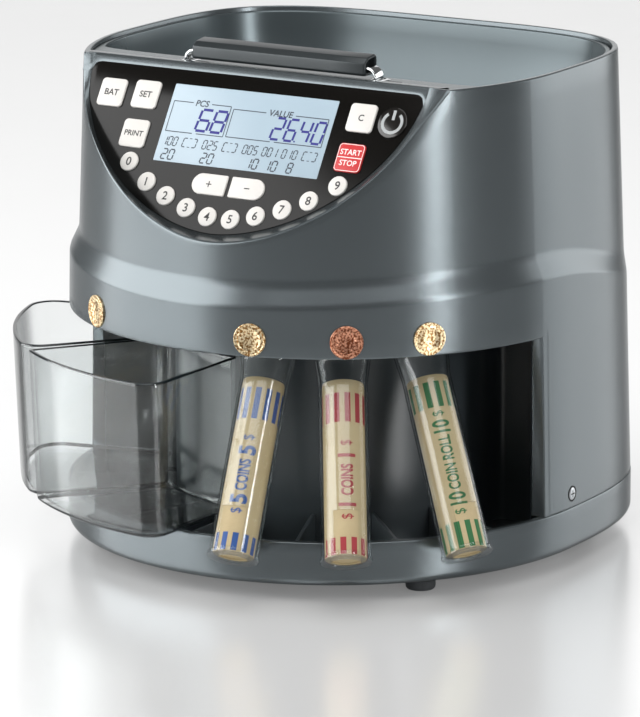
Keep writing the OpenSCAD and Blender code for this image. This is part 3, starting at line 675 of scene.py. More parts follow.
def wordMesh(text, size, spread, lift=0.0):
    # lettering as a flat mesh, centred on its own middle, in mm
    curve = bpy.data.curves.new("word", "FONT")
    curve.body = text
    curve.size = size
    curve.align_x = "CENTER"
    curve.align_y = "CENTER"
    curve.offset = spread
    curve.resolution_u = 4
    holder = bpy.data.objects.new("word", curve)
    bpy.context.scene.collection.objects.link(holder)
    bpy.context.view_layer.update()
    mesh = bpy.data.meshes.new_from_object(holder)
    bpy.data.objects.remove(holder)
    bpy.data.curves.remove(curve)
    xs, ys = [[v.co[k] for v in mesh.vertices] for k in (0, 1)]
    mx, my = (min(xs) + max(xs)) / 2, (min(ys) + max(ys)) / 2
    shape = {"verts": [(v.co.x - mx, v.co.y - my, lift) for v in mesh.vertices],
             "faces": [tuple(p.vertices) for p in mesh.polygons]}
    bpy.data.meshes.remove(mesh)
    return shape


def displayPage():
    lines, navy = newShape(), newShape()
    weight = display["line"]
    for x0, x1, y0, y1, topGap, lowGap, _, _ in display["boxes"]:
        for y, (g0, g1) in ((y1, topGap), (y0, lowGap)):
            addStroke(lines, (x0, y), (g0, y), weight)
            addStroke(lines, (g1, y), (x1, y), weight)
        for x in (x0, x1):
            addStroke(lines, (x, y0), (x, y1), weight)
    for *_, word, (x, y) in display["boxes"]:
        joinShape(lines, wordMesh(word, display["letters"], 0.1, display["lift"]), x, y, slant=0.1)
    largeFoot, coinFoot, countFoot = display["feet"]
    for text, x, figures in display["large"]:
        addDigits(navy, text, x, largeFoot, *figures)
    first, last, heavy = display["point"]
    addStroke(navy, (first, largeFoot), (last, largeFoot), heavy)
    x, figures = display["coinStart"], display["coinFigures"]
    for group in display["coins"]:
        brackets = group == "[]"
        if brackets:
            addDigits(lines, "[", x + 0.4, coinFoot, *figures)
            addDigits(lines, "]", x + 6.6, coinFoot, *figures)
            for left, y in ((3.9, coinFoot), (4.4, coinFoot + figures[0])):
                addStroke(lines, (x + left, y), (x + left + 1.5, y), 0.4)
        else:
            addDigits(lines, group, x, coinFoot, *figures)
        x += display["coinStep"][brackets]
    for text, x in display["counts"]:
        addDigits(lines, text, x, countFoot, *display["countFigures"])
    where = onPanel(0, display["at"])
    makePiece("displayLines", lines, "greyInk", where=where, mend=False)
    makePiece("displayFigures", navy, "navyInk", where=where, mend=False)


displayPage()

keys = {
    "square": 15.8,
    "digit": 10.8,
    "sign": (21.0, 11.6),
    "power": 17.0,
    "proud": 1.1,  # how far a key stands out of the sheet
    "edge": 0.45,
    # place across and down the slope, word and letter size
    "words": {"key_bat": (-88.5, 21.6, "BAT", 4.9), "key_set": (-67, 20.8, "SET", 4.9),
              "key_print": (-67, 43.2, "PRINT", 4.3), "key_clear": (67, 20.8, "C", 4.9)},
    "start": (67, 43.2),
    "signAt": (11.8, 66.6),
    "powerAt": (86, 21.6),
    "digits": ((64.8, 59.1), (50.4, 69.2), (36.2, 75.7), (21.6, 80.9), (7.1, 84.4)),  # from the ends inwards
    "digitLetters": 6.6,
    "slots": {"whiteKey": "key_white", "redKey": "key_red", "blackButton": "button_black"},
}


def dLoop(width, height, side):
    # flat towards the middle with small corners, a half round on the outer end
    r, c = height / 2, 0.8
    loop = arc(width / 2 - r, 0, r, -quarter, pi, 18) + arc(-width / 2 + c, r - c, c, quarter, quarter, 4)
    loop += arc(-width / 2 + c, -r + c, c, pi, quarter, 4)
    return loop if side > 0 else [(-x, y) for x, y in reversed(loop)]


def makeKey(node, x, q, loop, material, legends, ink="legendInk"):
    cap, mark = newShape(), newShape()
    addPad(cap, loop, -3.0, keys["proud"], keys["edge"])
    slot, where = keys["slots"][material], onPanel(x, q)
    makePiece(node + ".cap", cap, material, node, where, replaced=(node,))
    for shape, dy in legends:
        joinShape(mark, shape, 0.0, dy, keys["proud"] + 0.02)
    makePiece(node + ".legend", mark, ink, node, where, mend=False)


def strokeShape(strokes, width):
    shape = newShape()
    for a, b in strokes:
        addStroke(shape, a, b, width, 0.0)
    return shape


def openRing(radius, width, start, end, steps=48):
    # a flat ring from start to end, clockwise from the top
    shape = newShape()
    angles = [start + (end - start) * i / steps for i in range(steps + 1)]
    addGrid(shape, [[(r * sin(a), r * cos(a), 0.0) for a in angles]
                    for r in (radius - width / 2, radius + width / 2)])
    return shape


squareLoop = roundedBox(keys["square"], keys["square"], 2.2)
for node, (x, q, word, size) in keys["words"].items():
    makeKey(node, x, q, squareLoop, "whiteKey", [(wordMesh(word, size, 0.1), 0)])

edgeLoop = insetLoop(squareLoop, 0.55)
rimStrokes = [(a, b) for a, b in zip(edgeLoop, edgeLoop[1:] + edgeLoop[:1])
              if hypot(b[0] - a[0], b[1] - a[1]) > 1e-6]
makeKey("key_start", *keys["start"], squareLoop, "redKey",
        [(wordMesh("START", 4.3, 0.06), 3.0), (wordMesh("STOP", 4.3, 0.06), -3.0),
         (strokeShape([((-7.2, 0), (7.2, 0))], 0.5), 0), (strokeShape(rimStrokes, 0.35), 0)], "paleInk")

level, upright = ((-1.7, 0), (1.7, 0)), ((0, -1.7), (0, 1.7))
for node, side, strokes in (("key_plus", -1, [level, upright]), ("key_minus", 1, [level])):
    makeKey(node, side * keys["signAt"][0], keys["signAt"][1], dLoop(*keys["sign"], side), "whiteKey",
            [(strokeShape(strokes, 0.6), 0)])

digitPlaces = [(-x, q) for x, q in keys["digits"]] + list(reversed(keys["digits"]))
for i, (x, q) in enumerate(digitPlaces):
    makeKey("key_%d" % i, x, q, circleLoop(keys["digit"] / 2), "whiteKey",
            [(wordMesh(str(i), keys["digitLetters"], 0.1), 0)])

makeKey("power_button", *keys["powerAt"], circleLoop(keys["power"] / 2, 64), "blackButton",
        [(openRing(5.6, 1.7, radians(38), radians(322)), 0), (strokeShape([((0, 1.4), (0, 6.8))], 1.7), 0)],
        "symbolMetal")
print("panel made")

hopper = {
    "rimOut": (131.8, 120.5, 3.8, 65.6, 60),  # half width, depth, squareness, flat front, its sharpness
    "rimIn": (129.2, 118.0, 3.8, 47.6, 16),
    # height, then the inside's outline as above, from the rim down to the throat
    "levels": ((255, 128.4, 117.2, 3.8, 47.6, 16), (240, 125.5, 114.5, 3.7, 47.6, 16),
               (225, 121.5, 110.5, 3.5, 48, 14), (212, 117.5, 106.5, 3.3, 50, 12),
               (198, 112.5, 102.5, 3.0, 56, 10), (184, 107.5, 99.5, 2.6, 66, 9),
               (172, 102.5, 98.5, 2.3, 80, 9), (163, 99.0, 97.5, 2.1, 92, 9),
               (156.5, 96.2, 96.2, 2.0, 120, 9), (154.4, 95.6, 95.6, 2.0, 130, 9),
               (154.35, 98.0, 98.0, 2.0, 130, 9)),
    "top": 264.0,
    "foot": 222.0,  # where the outer skirt ends behind the housing
}


def hopperBowl():
    top, outside, inside = hopper["top"], hopper["rimOut"], hopper["rimIn"]

    def loops(plan, *steps):
        return [planLoop(plan, z, inset, 240) for z, inset in steps]

    rows = loops(outside, (hopper["foot"], 2.0), (top - 0.7, 0.0), (top - 0.2, 0.2), (top, 0.7))
    (edgeOut,), (edgeIn,) = loops(outside, (top, 0.9)), loops(inside, (top, -1.0))
    rows += [mixRows(edgeOut, edgeIn, t) for t in (0, 0.15, 0.4, 0.7, 0.9, 1)]
    rows += loops(inside, (top - 0.12, -0.5), (top - 0.4, -0.15), (top - 1.0, 0.0))
    for z, *plan in hopper["levels"]:
        rows += loops(plan, (z, 0.0))
    shape = newShape()
    addGrid(shape, rows, wrap=True)
    makePiece("hopperBowl", shape, "hopperAbs", replaced=("hopper",), sharp=60)


hopperBowl()

handle = {
    "x": 4.5,
    "y": 60.3,  # ahead of the centre
    "grip": 108.0,
    "gripFront": 66.0,
    "section": [(0, 1.1), (0.9, 0), (12.2, 0), (13, 0.9), (13, 9.4), (11.6, 10.4), (3.4, 9.3), (0, 7.0)],
    # from each end of the grip inwards: distance and size of the section
    "ends": ((3.5, 0.62), (0.3, 0.7), (0, 0.78), (0, 0.9), (0.35, 0.97), (1.1, 1), (20, 1)),
    "strap": (8.0, 1.6),
    "strapOut": 5.0,  # the strap's legs stand this far outside the grip
    "low": 266.8,  # underside of the grip
    "deck": 264.0,
}


def roundCorners(points, radius, steps=3):
    out = []
    for i, p in enumerate(points):
        a, b, c = Vector(points[i - 1]), Vector(points[(i + 1) % len(points)]), Vector(p)
        ra = min(radius, (a - c).length * 0.45)
        rb = min(radius, (b - c).length * 0.45)
        out += bend(c + (a - c).normalized() * ra, c, c + (b - c).normalized() * rb, steps)
    return out


def handleGrip():
    shape = newShape()
    loop = roundCorners(handle["section"], 0.7)
    cy, cz = [sum(p[k] for p in loop) / len(loop) for k in (0, 1)]
    left, right = [handle["x"] + s * (handle["grip"] / 2 - 0.4) for s in (-1, 1)]
    places = [(left + d, scale) for d, scale in handle["ends"]]
    places += [(right - d, scale) for d, scale in reversed(handle["ends"])]
    addGrid(shape, [[(x, -handle["gripFront"] + cy + (a - cy) * scale, handle["low"] + cz + (b - cz) * scale)
                     for a, b in loop] for x, scale in places], wrap=True, capStart=True, capEnd=True)
    makePiece("handleGrip", shape, "gripAbs", "handle", replaced=("handle_grip",), sharp=45)


def handleStrap():
    shape = newShape()
    turn = handle["strapOut"]
    half, z = handle["grip"] / 2 + turn, handle["low"] + 4.2
    path = [(-half, 250.0), (-half, z - 5)]
    path += [(-half + 5 - 5 * cos(radians(v)), z - 5 + 5 * sin(radians(v))) for v in range(15, 91, 15)]
    path += [(half - 5 + 5 * sin(radians(v)), z - 5 + 5 * cos(radians(v))) for v in range(0, 91, 15)]
    path += [(half, 250.0)]
    section = roundedBox(*handle["strap"], 0.55, 3)
    rows = []
    for i, (x, zz) in enumerate(path):
        a, b = path[max(0, i - 1)], path[min(len(path) - 1, i + 1)]
        d = Vector((b[0] - a[0], b[1] - a[1])).normalized()
        rows.append([(handle["x"] + x - d.y * v, -handle["y"] + u, zz + d.x * v) for u, v in section])
    addGrid(shape, rows, wrap=True, capStart=True, capEnd=True)
    makePiece("handleStrap", shape, "chrome", "handle", replaced=("handle_strap",), sharp=50)


def handleFeet():
    plates, dark = newShape(), newShape()
    deck, y = handle["deck"], -handle["y"]
    for s, gap in ((-1, 6.5), (1, 8.6)):
        x = handle["x"] + s * (handle["grip"] / 2 + handle["strapOut"])
        outer, inner = roundedBox(10.4, 11.2, 3.0, 5, x, y), roundedBox(2.8, 9.2, 1.0, 5, x, y)
        levels = ((outer, 0.0, 0.02), (outer, 0.0, 0.6), (outer, 0.5, 1.0),
                  (inner, -1.0, 1.1), (inner, -0.4, 0.7), (inner, 0.0, 0.02))
        rows = [atHeight(insetLoop(loop, inset), deck + up) for loop, inset, up in levels]
        addGrid(plates, rows, wrap=True)
        # painted shadow: a near-black pad on the deck, shifted by gap to the right of each foot plate, stands
        # for the shadow the plate casts
        addPad(dark, roundedBox(9.0, 8.8, 3.0, 5, x + gap, y), deck - 0.05, deck + 0.04, 0.03)
        # painted shade: a near-black pad fills the bottom of each plate's slot
        addPad(dark, roundedBox(2.9, 9.4, 1.0, 5, x, y), deck - 0.05, deck + 0.06, 0.02)
    makePiece("handleFeet", plates, "chrome", replaced=("handle_feet",), sharp=40)
    makePiece("handleShadows", dark, "shadowGap")


handleGrip()
handleStrap()
handleFeet()
print("hopper and handle made")

base = {
    "plan": (147.45, 142.25, 3.0),
    "low": 8.0,
    "top": 32.0,
    "rim": 4.0,
    "floor": 12.0,
    "lowRound": 5.0,  # the tucked-in lower edge
    "drum": 88.0,
    "dividers": (-59, -38.3, -19, -0.2, 23.2, 44.2, 66),  # bearings, degrees
    "dividerTop": 31.8,
    "dividerThick": 2.5,
    "lug": (6.6, 12, 139.8, 46.4),  # width, depth, place and top of the lugs that take the side screws
    "feet": [(x, y) for x in (-100, 100) for y in (-79, 92)],
    "footProfile": [(5.5, 0.0), (7.2, 0.15), (7.8, 0.9), (8.0, 2.2), (7.9, 5.2), (6.9, 6.0), (6.9, 8.6)],
}


def baseTray():
    shape, fins = newShape(), newShape()
    low, top, floor, inside = base["low"], base["top"], base["floor"], base["rim"] + 0.2
    levels = [(low, 20)] + [(low + drop, inset) for inset, drop in edgeSteps(base["lowRound"], 6)]
    levels += [(18, 0), (26, 0)] + [(top - drop, inset) for inset, drop in reversed(edgeSteps(0.9, 3))]
    levels += [(top - drop, inside - inset) for inset, drop in edgeSteps(0.6, 3)]
    levels += [(floor + 3, inside), (floor + 0.8, inside + 0.7), (floor, inside + 2.8)]
    rows = [planLoop(base["plan"], z, inset) for z, inset in levels]
    addGrid(shape, rows, wrap=True, capStart=True, capEnd=True)
    makePiece("baseTray", shape, "satinPaint", replaced=("base_tray",), sharp=50)
    half, crest = base["dividerThick"] / 2, base["dividerTop"]
    side = [(half + 0.4, floor), (half, floor + 2), (half, crest - 0.7), (half - 0.5, crest - 0.05)]
    section = [(-x, z) for x, z in side] + [(0, crest)] + side[::-1]
    out, inn = 147.2 - base["rim"] + 0.3, base["drum"] + 0.3
    for bearing in base["dividers"]:
        turn = Matrix.Rotation(radians(bearing), 4, "Z")
        rows = [[turn @ Vector((x, -y, z)) for x, z in section]
                for y in (out, out - 12, (out + inn) / 2, inn)]
        addGrid(fins, rows, capStart=True, capEnd=True)
    wide, deep, reach, high = base["lug"]
    for s in (-1, 1):
        addPad(fins, roundedBox(wide, deep, 1.0, 3, s * reach, 0), floor, high, 0.6)
    makePiece("baseDividers", fins, "bayAbs", sharp=45)


def bayWall():
    # plan of the bay's back: side wall, rear corner, back wall, round drum, and the same on the other side
    shape = newShape()
    low, top, inner, r = base["floor"] + 0.02, 129.15, 135.9, base["drum"]
    start, end, steps = radians(176), radians(364), 72
    angles = [start + (end - start) * k / steps for k in range(steps + 1)]
    left = [(-inner, -25.4), (-inner, 20)] + bend((-inner, 20), (-inner, 25), (-inner + 5, 25), 5)[1:]
    left += bend((-92, 25), (-86.5, 25), (-r * cos(radians(10)), r * sin(radians(10)) - 4), 5)
    path = left + [(r * cos(a), r * sin(a)) for a in angles] + [(-x, y) for x, y in reversed(left)]
    addGrid(shape, [atHeight(path, z) for z in (low, low + 6, low + 40, low + 80, top)])
    # a soft foot where the drum meets the floor
    addGrid(shape, [[((r + out) * cos(a), (r + out) * sin(a), low + up) for a in angles]
                    for out, up in ((0.02, 3), (0.25, 1.4), (0.9, 0.5), (2.2, 0.05))])
    makePiece("bayWall", shape, "bayAbs", replaced=("bay_wall",), sharp=40)


baseTray()
bayWall()

feet = newShape()
for x, y in base["feet"]:
    lathe(feet, base["footProfile"], 48, x, y)
makePiece("machineFeet", feet, "rubber", replaced=("feet",), sharp=35)
print("base made")

badges = {
    "angles": (-29.6, 13.6, 33.7, 51.0),  # from the front, degrees
    "height": 138.4,
    "radius": 8.7,
    "marks": ("1", "5", "25", "10"),
    "finish": (("brass", "gold"), ("brass", "gold"), ("copper", "copper"), ("brass", "gold")),
    "face": 145.57,  # how far out the coins sit
    # distance in from the edge and height: two raised rings with a hollow between them
    "rings": ((0, -1.5), (0, 0.0), (0.25, 0.18), (0.75, 0.18), (1.0, 0.0), (1.25, -0.05), (2.3, -0.05),
              (2.45, 0.03), (2.7, 0.03), (2.85, -0.05), (8.1, 0.0)),
    "beads": 24,
    "beadIn": 1.75,
    "letters": (6.4, 0.12, 0.14, -0.1),  # height, boldness, top and foot of the number
    "leaves": 6,
    "leafLong": 1.7,
    "leaf": ((0, 0.02, 0.0), (0.3, 0.3, 0.13), (0.6, 0.34, 0.13), (1, 0.02, 0.0)),  # along, half width, ridge
    "twigRadius": 4.55,
}


def startWork(shape):
    # a mesh under work made from a shape; faces that repeat are left out
    work = bmesh.new()
    verts = [work.verts.new(v) for v in shape["verts"]]
    for face in shape["faces"]:
        try:
            work.faces.new([verts[k] for k in face])
        except ValueError:
            pass
    return work


def endWork(work):
    # points and faces are sorted, so that every run gives the same order
    verts = sorted(work.verts, key=lambda v: tuple(v.co))
    place = {v: k for k, v in enumerate(verts)}
    faces = [[place[v] for v in face.verts] for face in work.faces]
    starts = [face.index(min(face)) for face in faces]
    shape = {"verts": [tuple(v.co) for v in verts],
             "faces": sorted(tuple(face[k:] + face[:k]) for face, k in zip(faces, starts))}
    work.free()
    return shape


def makeBadge(i):
    r, beads, spot = badges["radius"], badges["beads"], badges["radius"] - badges["beadIn"]
    size, bold, top, foot = badges["letters"]
    shape = newShape()
    lathe(shape, [(r - inward, z) for inward, z in badges["rings"]], 72)
    for x, y in circleLoop(spot, beads):
        lathe(shape, [(0.28, -0.06), (0.24, 0.05), (0.08, 0.12)], 8, x, y, capStart=False)
    work = startWork(wordMesh(badges["marks"][i], size, bold, top))
    made = bmesh.ops.extrude_face_region(work, geom=list(work.faces))
    for v in [g for g in made["geom"] if isinstance(g, bmesh.types.BMVert)]:
        v.co.z = foot
    joinShape(shape, endWork(work))
    # two laurel twigs round the number
    for s in (-1, 1):
        for k in range(badges["leaves"]):
            a = radians(-60 + 24 * k)
            cx, cy, turn = s * badges["twigRadius"] * cos(a), badges["twigRadius"] * sin(a), a + s * 0.5
            c, n = cos(turn), sin(turn)
            rows = []
            for t, half, ridge in badges["leaf"]:
                x = (t - 0.5) * badges["leafLong"]
                rows.append([(cx + s * (y * c - x * n), cy + x * c + y * n, z)
                             for y, z in ((-half, -0.03), (0, ridge), (half, -0.03))])
            addGrid(shape, rows)
    # the badge's own frame: x to the right, y up, z out of the wall
    where = (Matrix.Rotation(radians(badges["angles"][i]), 4, "Z")
             @ Matrix.Translation((0, -badges["face"], badges["height"])) @ Matrix.Rotation(quarter, 4, "X"))
    material, slot = badges["finish"][i]
    makePiece("badge_%d.coin" % (i + 1), shape, material, where=where,
              replaced=("badge_%d" % (i + 1),), sharp=30)


for i in range(4):
    makeBadge(i)

tubes = {
    "angles": (13.1, 33.2, 55.0),
    "lean": radians(31.9),
    "radius": 13.0,
    "wall": 1.2,
    "length": 99.5,
    "flange": 13.7,
    "mouth": 15.2,  # the funnel widens to this under the outlet
    "outlet": 110.0,
    "topReach": 117.5,  # how far out the straight part ends
    "plate": 126.9,  # underside of the plate that slides in the rails
    "window": (14.0, 3.5, 25.5),  # width, start and end of the finger window at the foot
    "round": 44,  # steps round the closed side
    "runner": (1.6, 14.5, -8.0, 16.0),  # thickness, distance from the middle, start and end from the outlet
}


def tubeFrame(i):
    return Matrix.Rotation(radians(tubes["angles"][i]), 4, "Z")


def tubeFoot(i):
    # frame at the foot of a tube: z up along its axis, y towards the machine
    lean, length = tubes["lean"], tubes["length"]
    place = (0, -tubes["topReach"] - sin(lean) * length, tubes["plate"] - 15 - cos(lean) * length)
    return tubeFrame(i) @ Matrix.Translation(place) @ Matrix.Rotation(-lean, 4, "X")


def makeTube(i):
    r, w, length, plate = [tubes[k] for k in ("radius", "wall", "length", "plate")]
    flange, mouth = tubes["flange"], tubes["mouth"]
    wide, lowWin, highWin = tubes["window"]
    name = "tube_%d" % (i + 1)
    foot, back = tubeFoot(i), tubeFrame(i)
    edge, rest = asin(wide / 2 / r), tubes["round"]
    angles = [-quarter + edge * t for t in (-1, -0.5, 0, 0.5, 1)]  # the window faces outwards
    angles += [-quarter + edge + (2 * pi - 2 * edge) * k / rest for k in range(1, rest)]

    def ring(radius, s):
        return [foot @ Vector((radius * cos(a), radius * sin(a), s)) for a in angles]

    def topRing(radius, z):
        return [back @ Vector((radius * cos(a), radius * sin(a) - tubes["outlet"], z)) for a in angles]

    outer = [ring(*level) for level in (
        (flange - 0.5, 0.0), (flange, 0.5), (flange, 1.9), (flange - 0.5, 2.4), (r + 0.1, 2.7), (r, 3.1),
        (r, lowWin), (r, highWin), (r, 60), (r, length - 2))]
    shoulder = topRing(mouth, plate - 3)
    outer += [mixRows(outer[-1], shoulder, t) for t in (0.35, 0.7)] + [shoulder, topRing(mouth, plate + 0.5)]
    inside, straight = topRing(mouth - w, plate - 3), ring(r - w, length - 2)
    inner = [topRing(mouth - w, plate + 0.5), inside] + [mixRows(inside, straight, t) for t in (0.35, 0.7)]
    inner += [straight] + [ring(r - w, s) for s in (60, highWin, lowWin, 1.9)]
    inner += [ring(r - w - 0.4, 1.5), ring(8.0, 1.5), ring(8.0, 0.0)]
    rows = outer + inner
    o0, o1 = 6, 7  # rows of the outer wall at the foot and the top of the window
    i1, i0 = len(outer) + 6, len(outer) + 7  # the same in the inner wall, which runs downwards
    shape = newShape()
    start = addGrid(shape, rows + [rows[0]], wrap=True, skip=lambda j, k: j in (o0, i1) and k < 4)

    def at(row, k):
        return start + row * len(angles) + k

    # the four cut faces of the window join the outer wall to the inner one
    for k in range(4):
        shape["faces"] += [(at(o0, k), at(i0, k), at(i0, k + 1), at(o0, k + 1)),
                           (at(o1, k), at(o1, k + 1), at(i1, k + 1), at(i1, k))]
    for k in (0, 4):
        shape["faces"].append((at(o0, k), at(o1, k), at(i1, k), at(i0, k)))
    makePiece(name + ".clear", shape, "clearStyrene", name, replaced=(name,), sharp=35)
    thick, apart, first, last = tubes["runner"]
    runners = newShape()
    for s in (-1, 1):
        strip = roundedBox(thick, last - first, 0.4, 2, s * apart, -tubes["outlet"] - (first + last) / 2)
        addPad(runners, strip, plate, plate + 2, 0.3, 0.3)
    makePiece(name + ".runners", runners, "clearStyrene", name, where=back, sharp=35)


for i in range(3):
    makeTube(i)
print("tubes made")

wrappers = {
    "radius": 11.0,
    "length": 95.0,
    "lift": 1.8,  # stands on the foot of its tube
    "turn": (5.5, 5.3, -14.0),  # which way the print faces, degrees
    "ink": ("blueInk", "redInk", "greenInk"),
    "bars": 12,  # bars round the paper
    "barWide": 3.1,
    "bands": (((0.3, 9.8, 0.35), (71.8, 89.0, 0.1)), ((0.3, 9.4, 0.55), (71.6, 87.6, 0.15)),
              ((0.3, 14.6, 0.35), (77.0, 91.0, 0.45))),  # from, to and phase of the two rows of bars
    # number and word with letter height, how narrow it is set and how bold, then the places along the roll
    "print": ((("5", 12.6, 0.9, 0.45), ("COINS", 8.6, 0.66, 0.30), (21.6, 28.0, 41.0, 54.4, 61.4)),
              (("1", 12.6, 0.9, 0.40), ("COINS", 8.6, 0.66, 0.30), (20.4, 26.8, 40.2, 53.4, 60.2)),
              (("10", 12.6, 0.66, 0.35), ("COIN ROLL", 8.6, 0.66, 0.22), (19.6, 26.8, 46.6, 66.4, 73.4))),
    "sign": ("$", 8.0, 0.8, 0.02),
    "slice": 0.6,  # the letters are cut into strips this wide
}


def slicedWord(text, size, spread):
    # lettering cut into narrow strips so that it can follow the paper round
    work = startWork(wordMesh(text, size, spread))
    y = min(v.co.y for v in work.verts) + wrappers["slice"]
    high = max(v.co.y for v in work.verts)
    while y < high:
        geom = list(work.verts) + list(work.edges) + list(work.faces)
        bmesh.ops.bisect_plane(work, geom=geom, plane_co=(0, y, 0), plane_no=(0, 1, 0))
        y += wrappers["slice"]
    return endWork(work)


def makeWrapper(i):
    r, length = wrappers["radius"], wrappers["length"]
    name = "wrapper_%d" % (i + 1)
    foot = tubeFoot(i) @ Matrix.Translation((0, 0, wrappers["lift"]))
    paper, seam, ink = newShape(), newShape(), newShape()
    # rolled ends: the paper turns in over itself
    lathe(paper, [(r - 2.6, 0.9), (r - 2.4, 0.25), (r - 1.2, 0.0), (r - 0.3, 0.3), (r, 1.2), (r, 8),
                  (r + 0.03, 20), (r, 32), (r - 0.02, 60), (r, length - 10), (r, length - 1.2),
                  (r - 0.25, length - 0.3), (r - 1.0, length), (r - 1.4, length - 0.6), (r - 1.1, length - 4),
                  (r - 0.9, length - 30)], 72, capEnd=False)
    makePiece(name + ".paper", paper, "kraft", name, where=foot, replaced=(name,), sharp=50)

    def onRoll(a, s, out):
        return ((r + out) * cos(a), (r + out) * sin(a), s)

    # the overlapping edge of the paper
    addGrid(seam, [[onRoll(radians(-165) + k, s, out) for k, out in ((0, 0.02), (0.01, 0.22), (0.12, 0.04))]
                   for s in (1.4, length * 0.5, length - 1.6)])
    makePiece(name + ".seam", seam, "kraft", name, where=foot)
    turn = radians(wrappers["turn"][i] - 90)
    reach = wrappers["barWide"] / r
    for first, last, phase in wrappers["bands"][i]:
        for k in range(wrappers["bars"]):
            middle = turn + 2 * pi / wrappers["bars"] * (k + phase)
            across = [middle + reach * (t / 4 - 0.5) for t in range(5)]
            addGrid(ink, [[onRoll(a, s, 0.06) for a in across] for s in (first, last)])
    number, word, places = wrappers["print"][i]
    sign = wrappers["sign"]
    for (text, height, narrow, bold), along in zip((sign, number, word, number, sign), places):
        letters = slicedWord(text, height, bold)
        letters["verts"] = [onRoll(turn - y / r, along + x * narrow, 0.07) for x, y, _ in letters["verts"]]
        joinShape(ink, letters)
    makePiece(name + ".print", ink, wrappers["ink"][i], name, where=foot, mend=False)


for i in range(3):
    makeWrapper(i)
print("wrappers made")

bins = {
    "low": 32.3,
    "height": 84.0,
    "outer": 176.0,
    "inner": 96.0,
    "draft": 3.0,  # how much narrower the foot is
    "wall": 2.0,
    "rearCorner": 3.0,
    "footRound": 4.0,
    # bearings of the two sides, radii of the left and right corner
    "bin_front": (-37.4, -1.2, (3.0, 12.0)),
    "bin_left": (-78.2, -39.2, (14.0, 12.0)),
}


def binLoop(r0, r1, a, b, corners, z, steps=10):
    # plan of a bin: round outer wall with rounded corners and straight sides
    def spoke(deg):
        return Vector((sin(radians(deg)), -cos(radians(deg))))

    def spokes(middle, radius, first, sweep, ks, count):
        return [middle + radius * spoke(first + sweep * k / count) for k in ks]

    left, right = corners
    c = bins["rearCorner"]
    e0, e1, f = [degrees(t) for t in (asin(left / (r1 - left)), asin(right / (r1 - right)), c / (r0 + c))]
    here = Vector((0, 0))
    out = spokes((r1 - left) * spoke(a + e0), left, a - 90, 90 + e0, range(steps + 1), steps)
    out += spokes(here, r1, a + e0, b - a - e0 - e1, range(1, 16), 16)
    out += spokes((r1 - right) * spoke(b - e1), right, b - e1, 90 + e1, range(steps + 1), steps)
    out += spokes((r0 + c) * spoke(b - f), c, b + 90, 90 - f, range(5), 4)
    out += spokes(here, r0, b - f, a - b + 2 * f, range(1, 12), 12)
    out += spokes((r0 + c) * spoke(a + f), c, a + 180 + f, 90 - f, range(5), 4)
    return [(p.x, p.y, z) for p in out]


def makeBin(name):
    low, top, w, foot = bins["low"], bins["low"] + bins["height"], bins["wall"], bins["footRound"]
    a, b, corners = bins[name]

    def loops(*steps):
        rows = []
        for z, inset in steps:
            r1 = bins["outer"] - bins["draft"] * (1 - (z - low) / bins["height"]) - inset
            shrink = degrees(inset / 130)
            rows.append(binLoop(bins["inner"] + inset, r1, a + shrink, b - shrink,
                                [max(1.0, corner - inset) for corner in corners], z))
        return rows

    rows = loops(*[(low + drop, inset) for inset, drop in edgeSteps(foot, 4)])
    rows += loops((low + 30, 0), (low + 60, 0), (top - 3.4, 0), (top - 3.0, 0), (top - 0.5, 0),
                  (top - 0.1, 0.25), (top, 0.7), (top, w - 0.6), (top - 0.15, w - 0.2), (top - 0.7, w),
                  (low + 60, w), (low + 30, w))
    rows += loops(*[(low + w + drop, w + inset) for inset, drop in reversed(edgeSteps(foot - 1, 4))])
    shell, edges = newShape(), newShape()
    addGrid(shell, rows, wrap=True, capStart=True, capEnd=True)
    makePiece(name + ".shell", shell, "smokeStyrene", name, replaced=(name,), sharp=40)
    # the cut lip and the foot's outer edge catch no light, so they read as thin dark lines; a near-black skin
    # laid over them paints that shade
    addGrid(edges, loops((top - 0.9, -0.03), (top - 0.1, 0.15), (top + 0.02, 0.4), (top + 0.02, w - 0.5),
                         (top - 0.1, w - 0.1), (top - 0.6, w + 0.03)), wrap=True)
    addGrid(edges, loops((low + 2.9, 0.15), (low + 2.05, 0.325), (low + 1.2, 1.0)), wrap=True)
    makePiece(name + ".edges", edges, "paintedShadeEdge", name, mend=False, sharp=60)


makeBin("bin_front")
makeBin("bin_left")
print("bins made")

screws = {
    "out": 147.0,  # how far out the heads sit
    "height": 39.5,
    "head": [(3.4, -0.6), (3.35, 0.05), (3.0, 0.28), (2.0, 0.4), (0.6, 0.43)],
    # painted shade: a near-black ring round the head for the shade in the recess it sits in
    "seatShade": [(4.3, 0.1), (4.1, 0.16), (3.4, 0.1), (3.3, -0.3)],
    "cross": (1.9, 0.7, 0.445),  # half length, width and height of the cross in the head, drawn near-black as painted shade in its slot
}

for side, label in ((1, "right"), (-1, "left")):
    head, seatShade = newShape(), newShape()
    where = Matrix.Translation((side * screws["out"], 0, screws["height"]))
    where = where @ Matrix.Rotation(side * quarter, 4, "Y")
    lathe(head, screws["head"], 36)
    makePiece("sideScrew." + label, head, "steel", where=where, sharp=30,
              replaced=("side_screws",) if side > 0 else ())
    # painted shade: a near-black ring round the head and near-black cross strokes laid over it
    lathe(seatShade, screws["seatShade"], 36, capStart=False, capEnd=False)
    reach, width, height = screws["cross"]
    for turn in (0, quarter):
        x, y = reach * cos(turn), reach * sin(turn)
        addStroke(seatShade, (-x, -y), (x, y), width, height)
    makePiece("sideScrewShade." + label, seatShade, "shadowGap", where=where, mend=False)

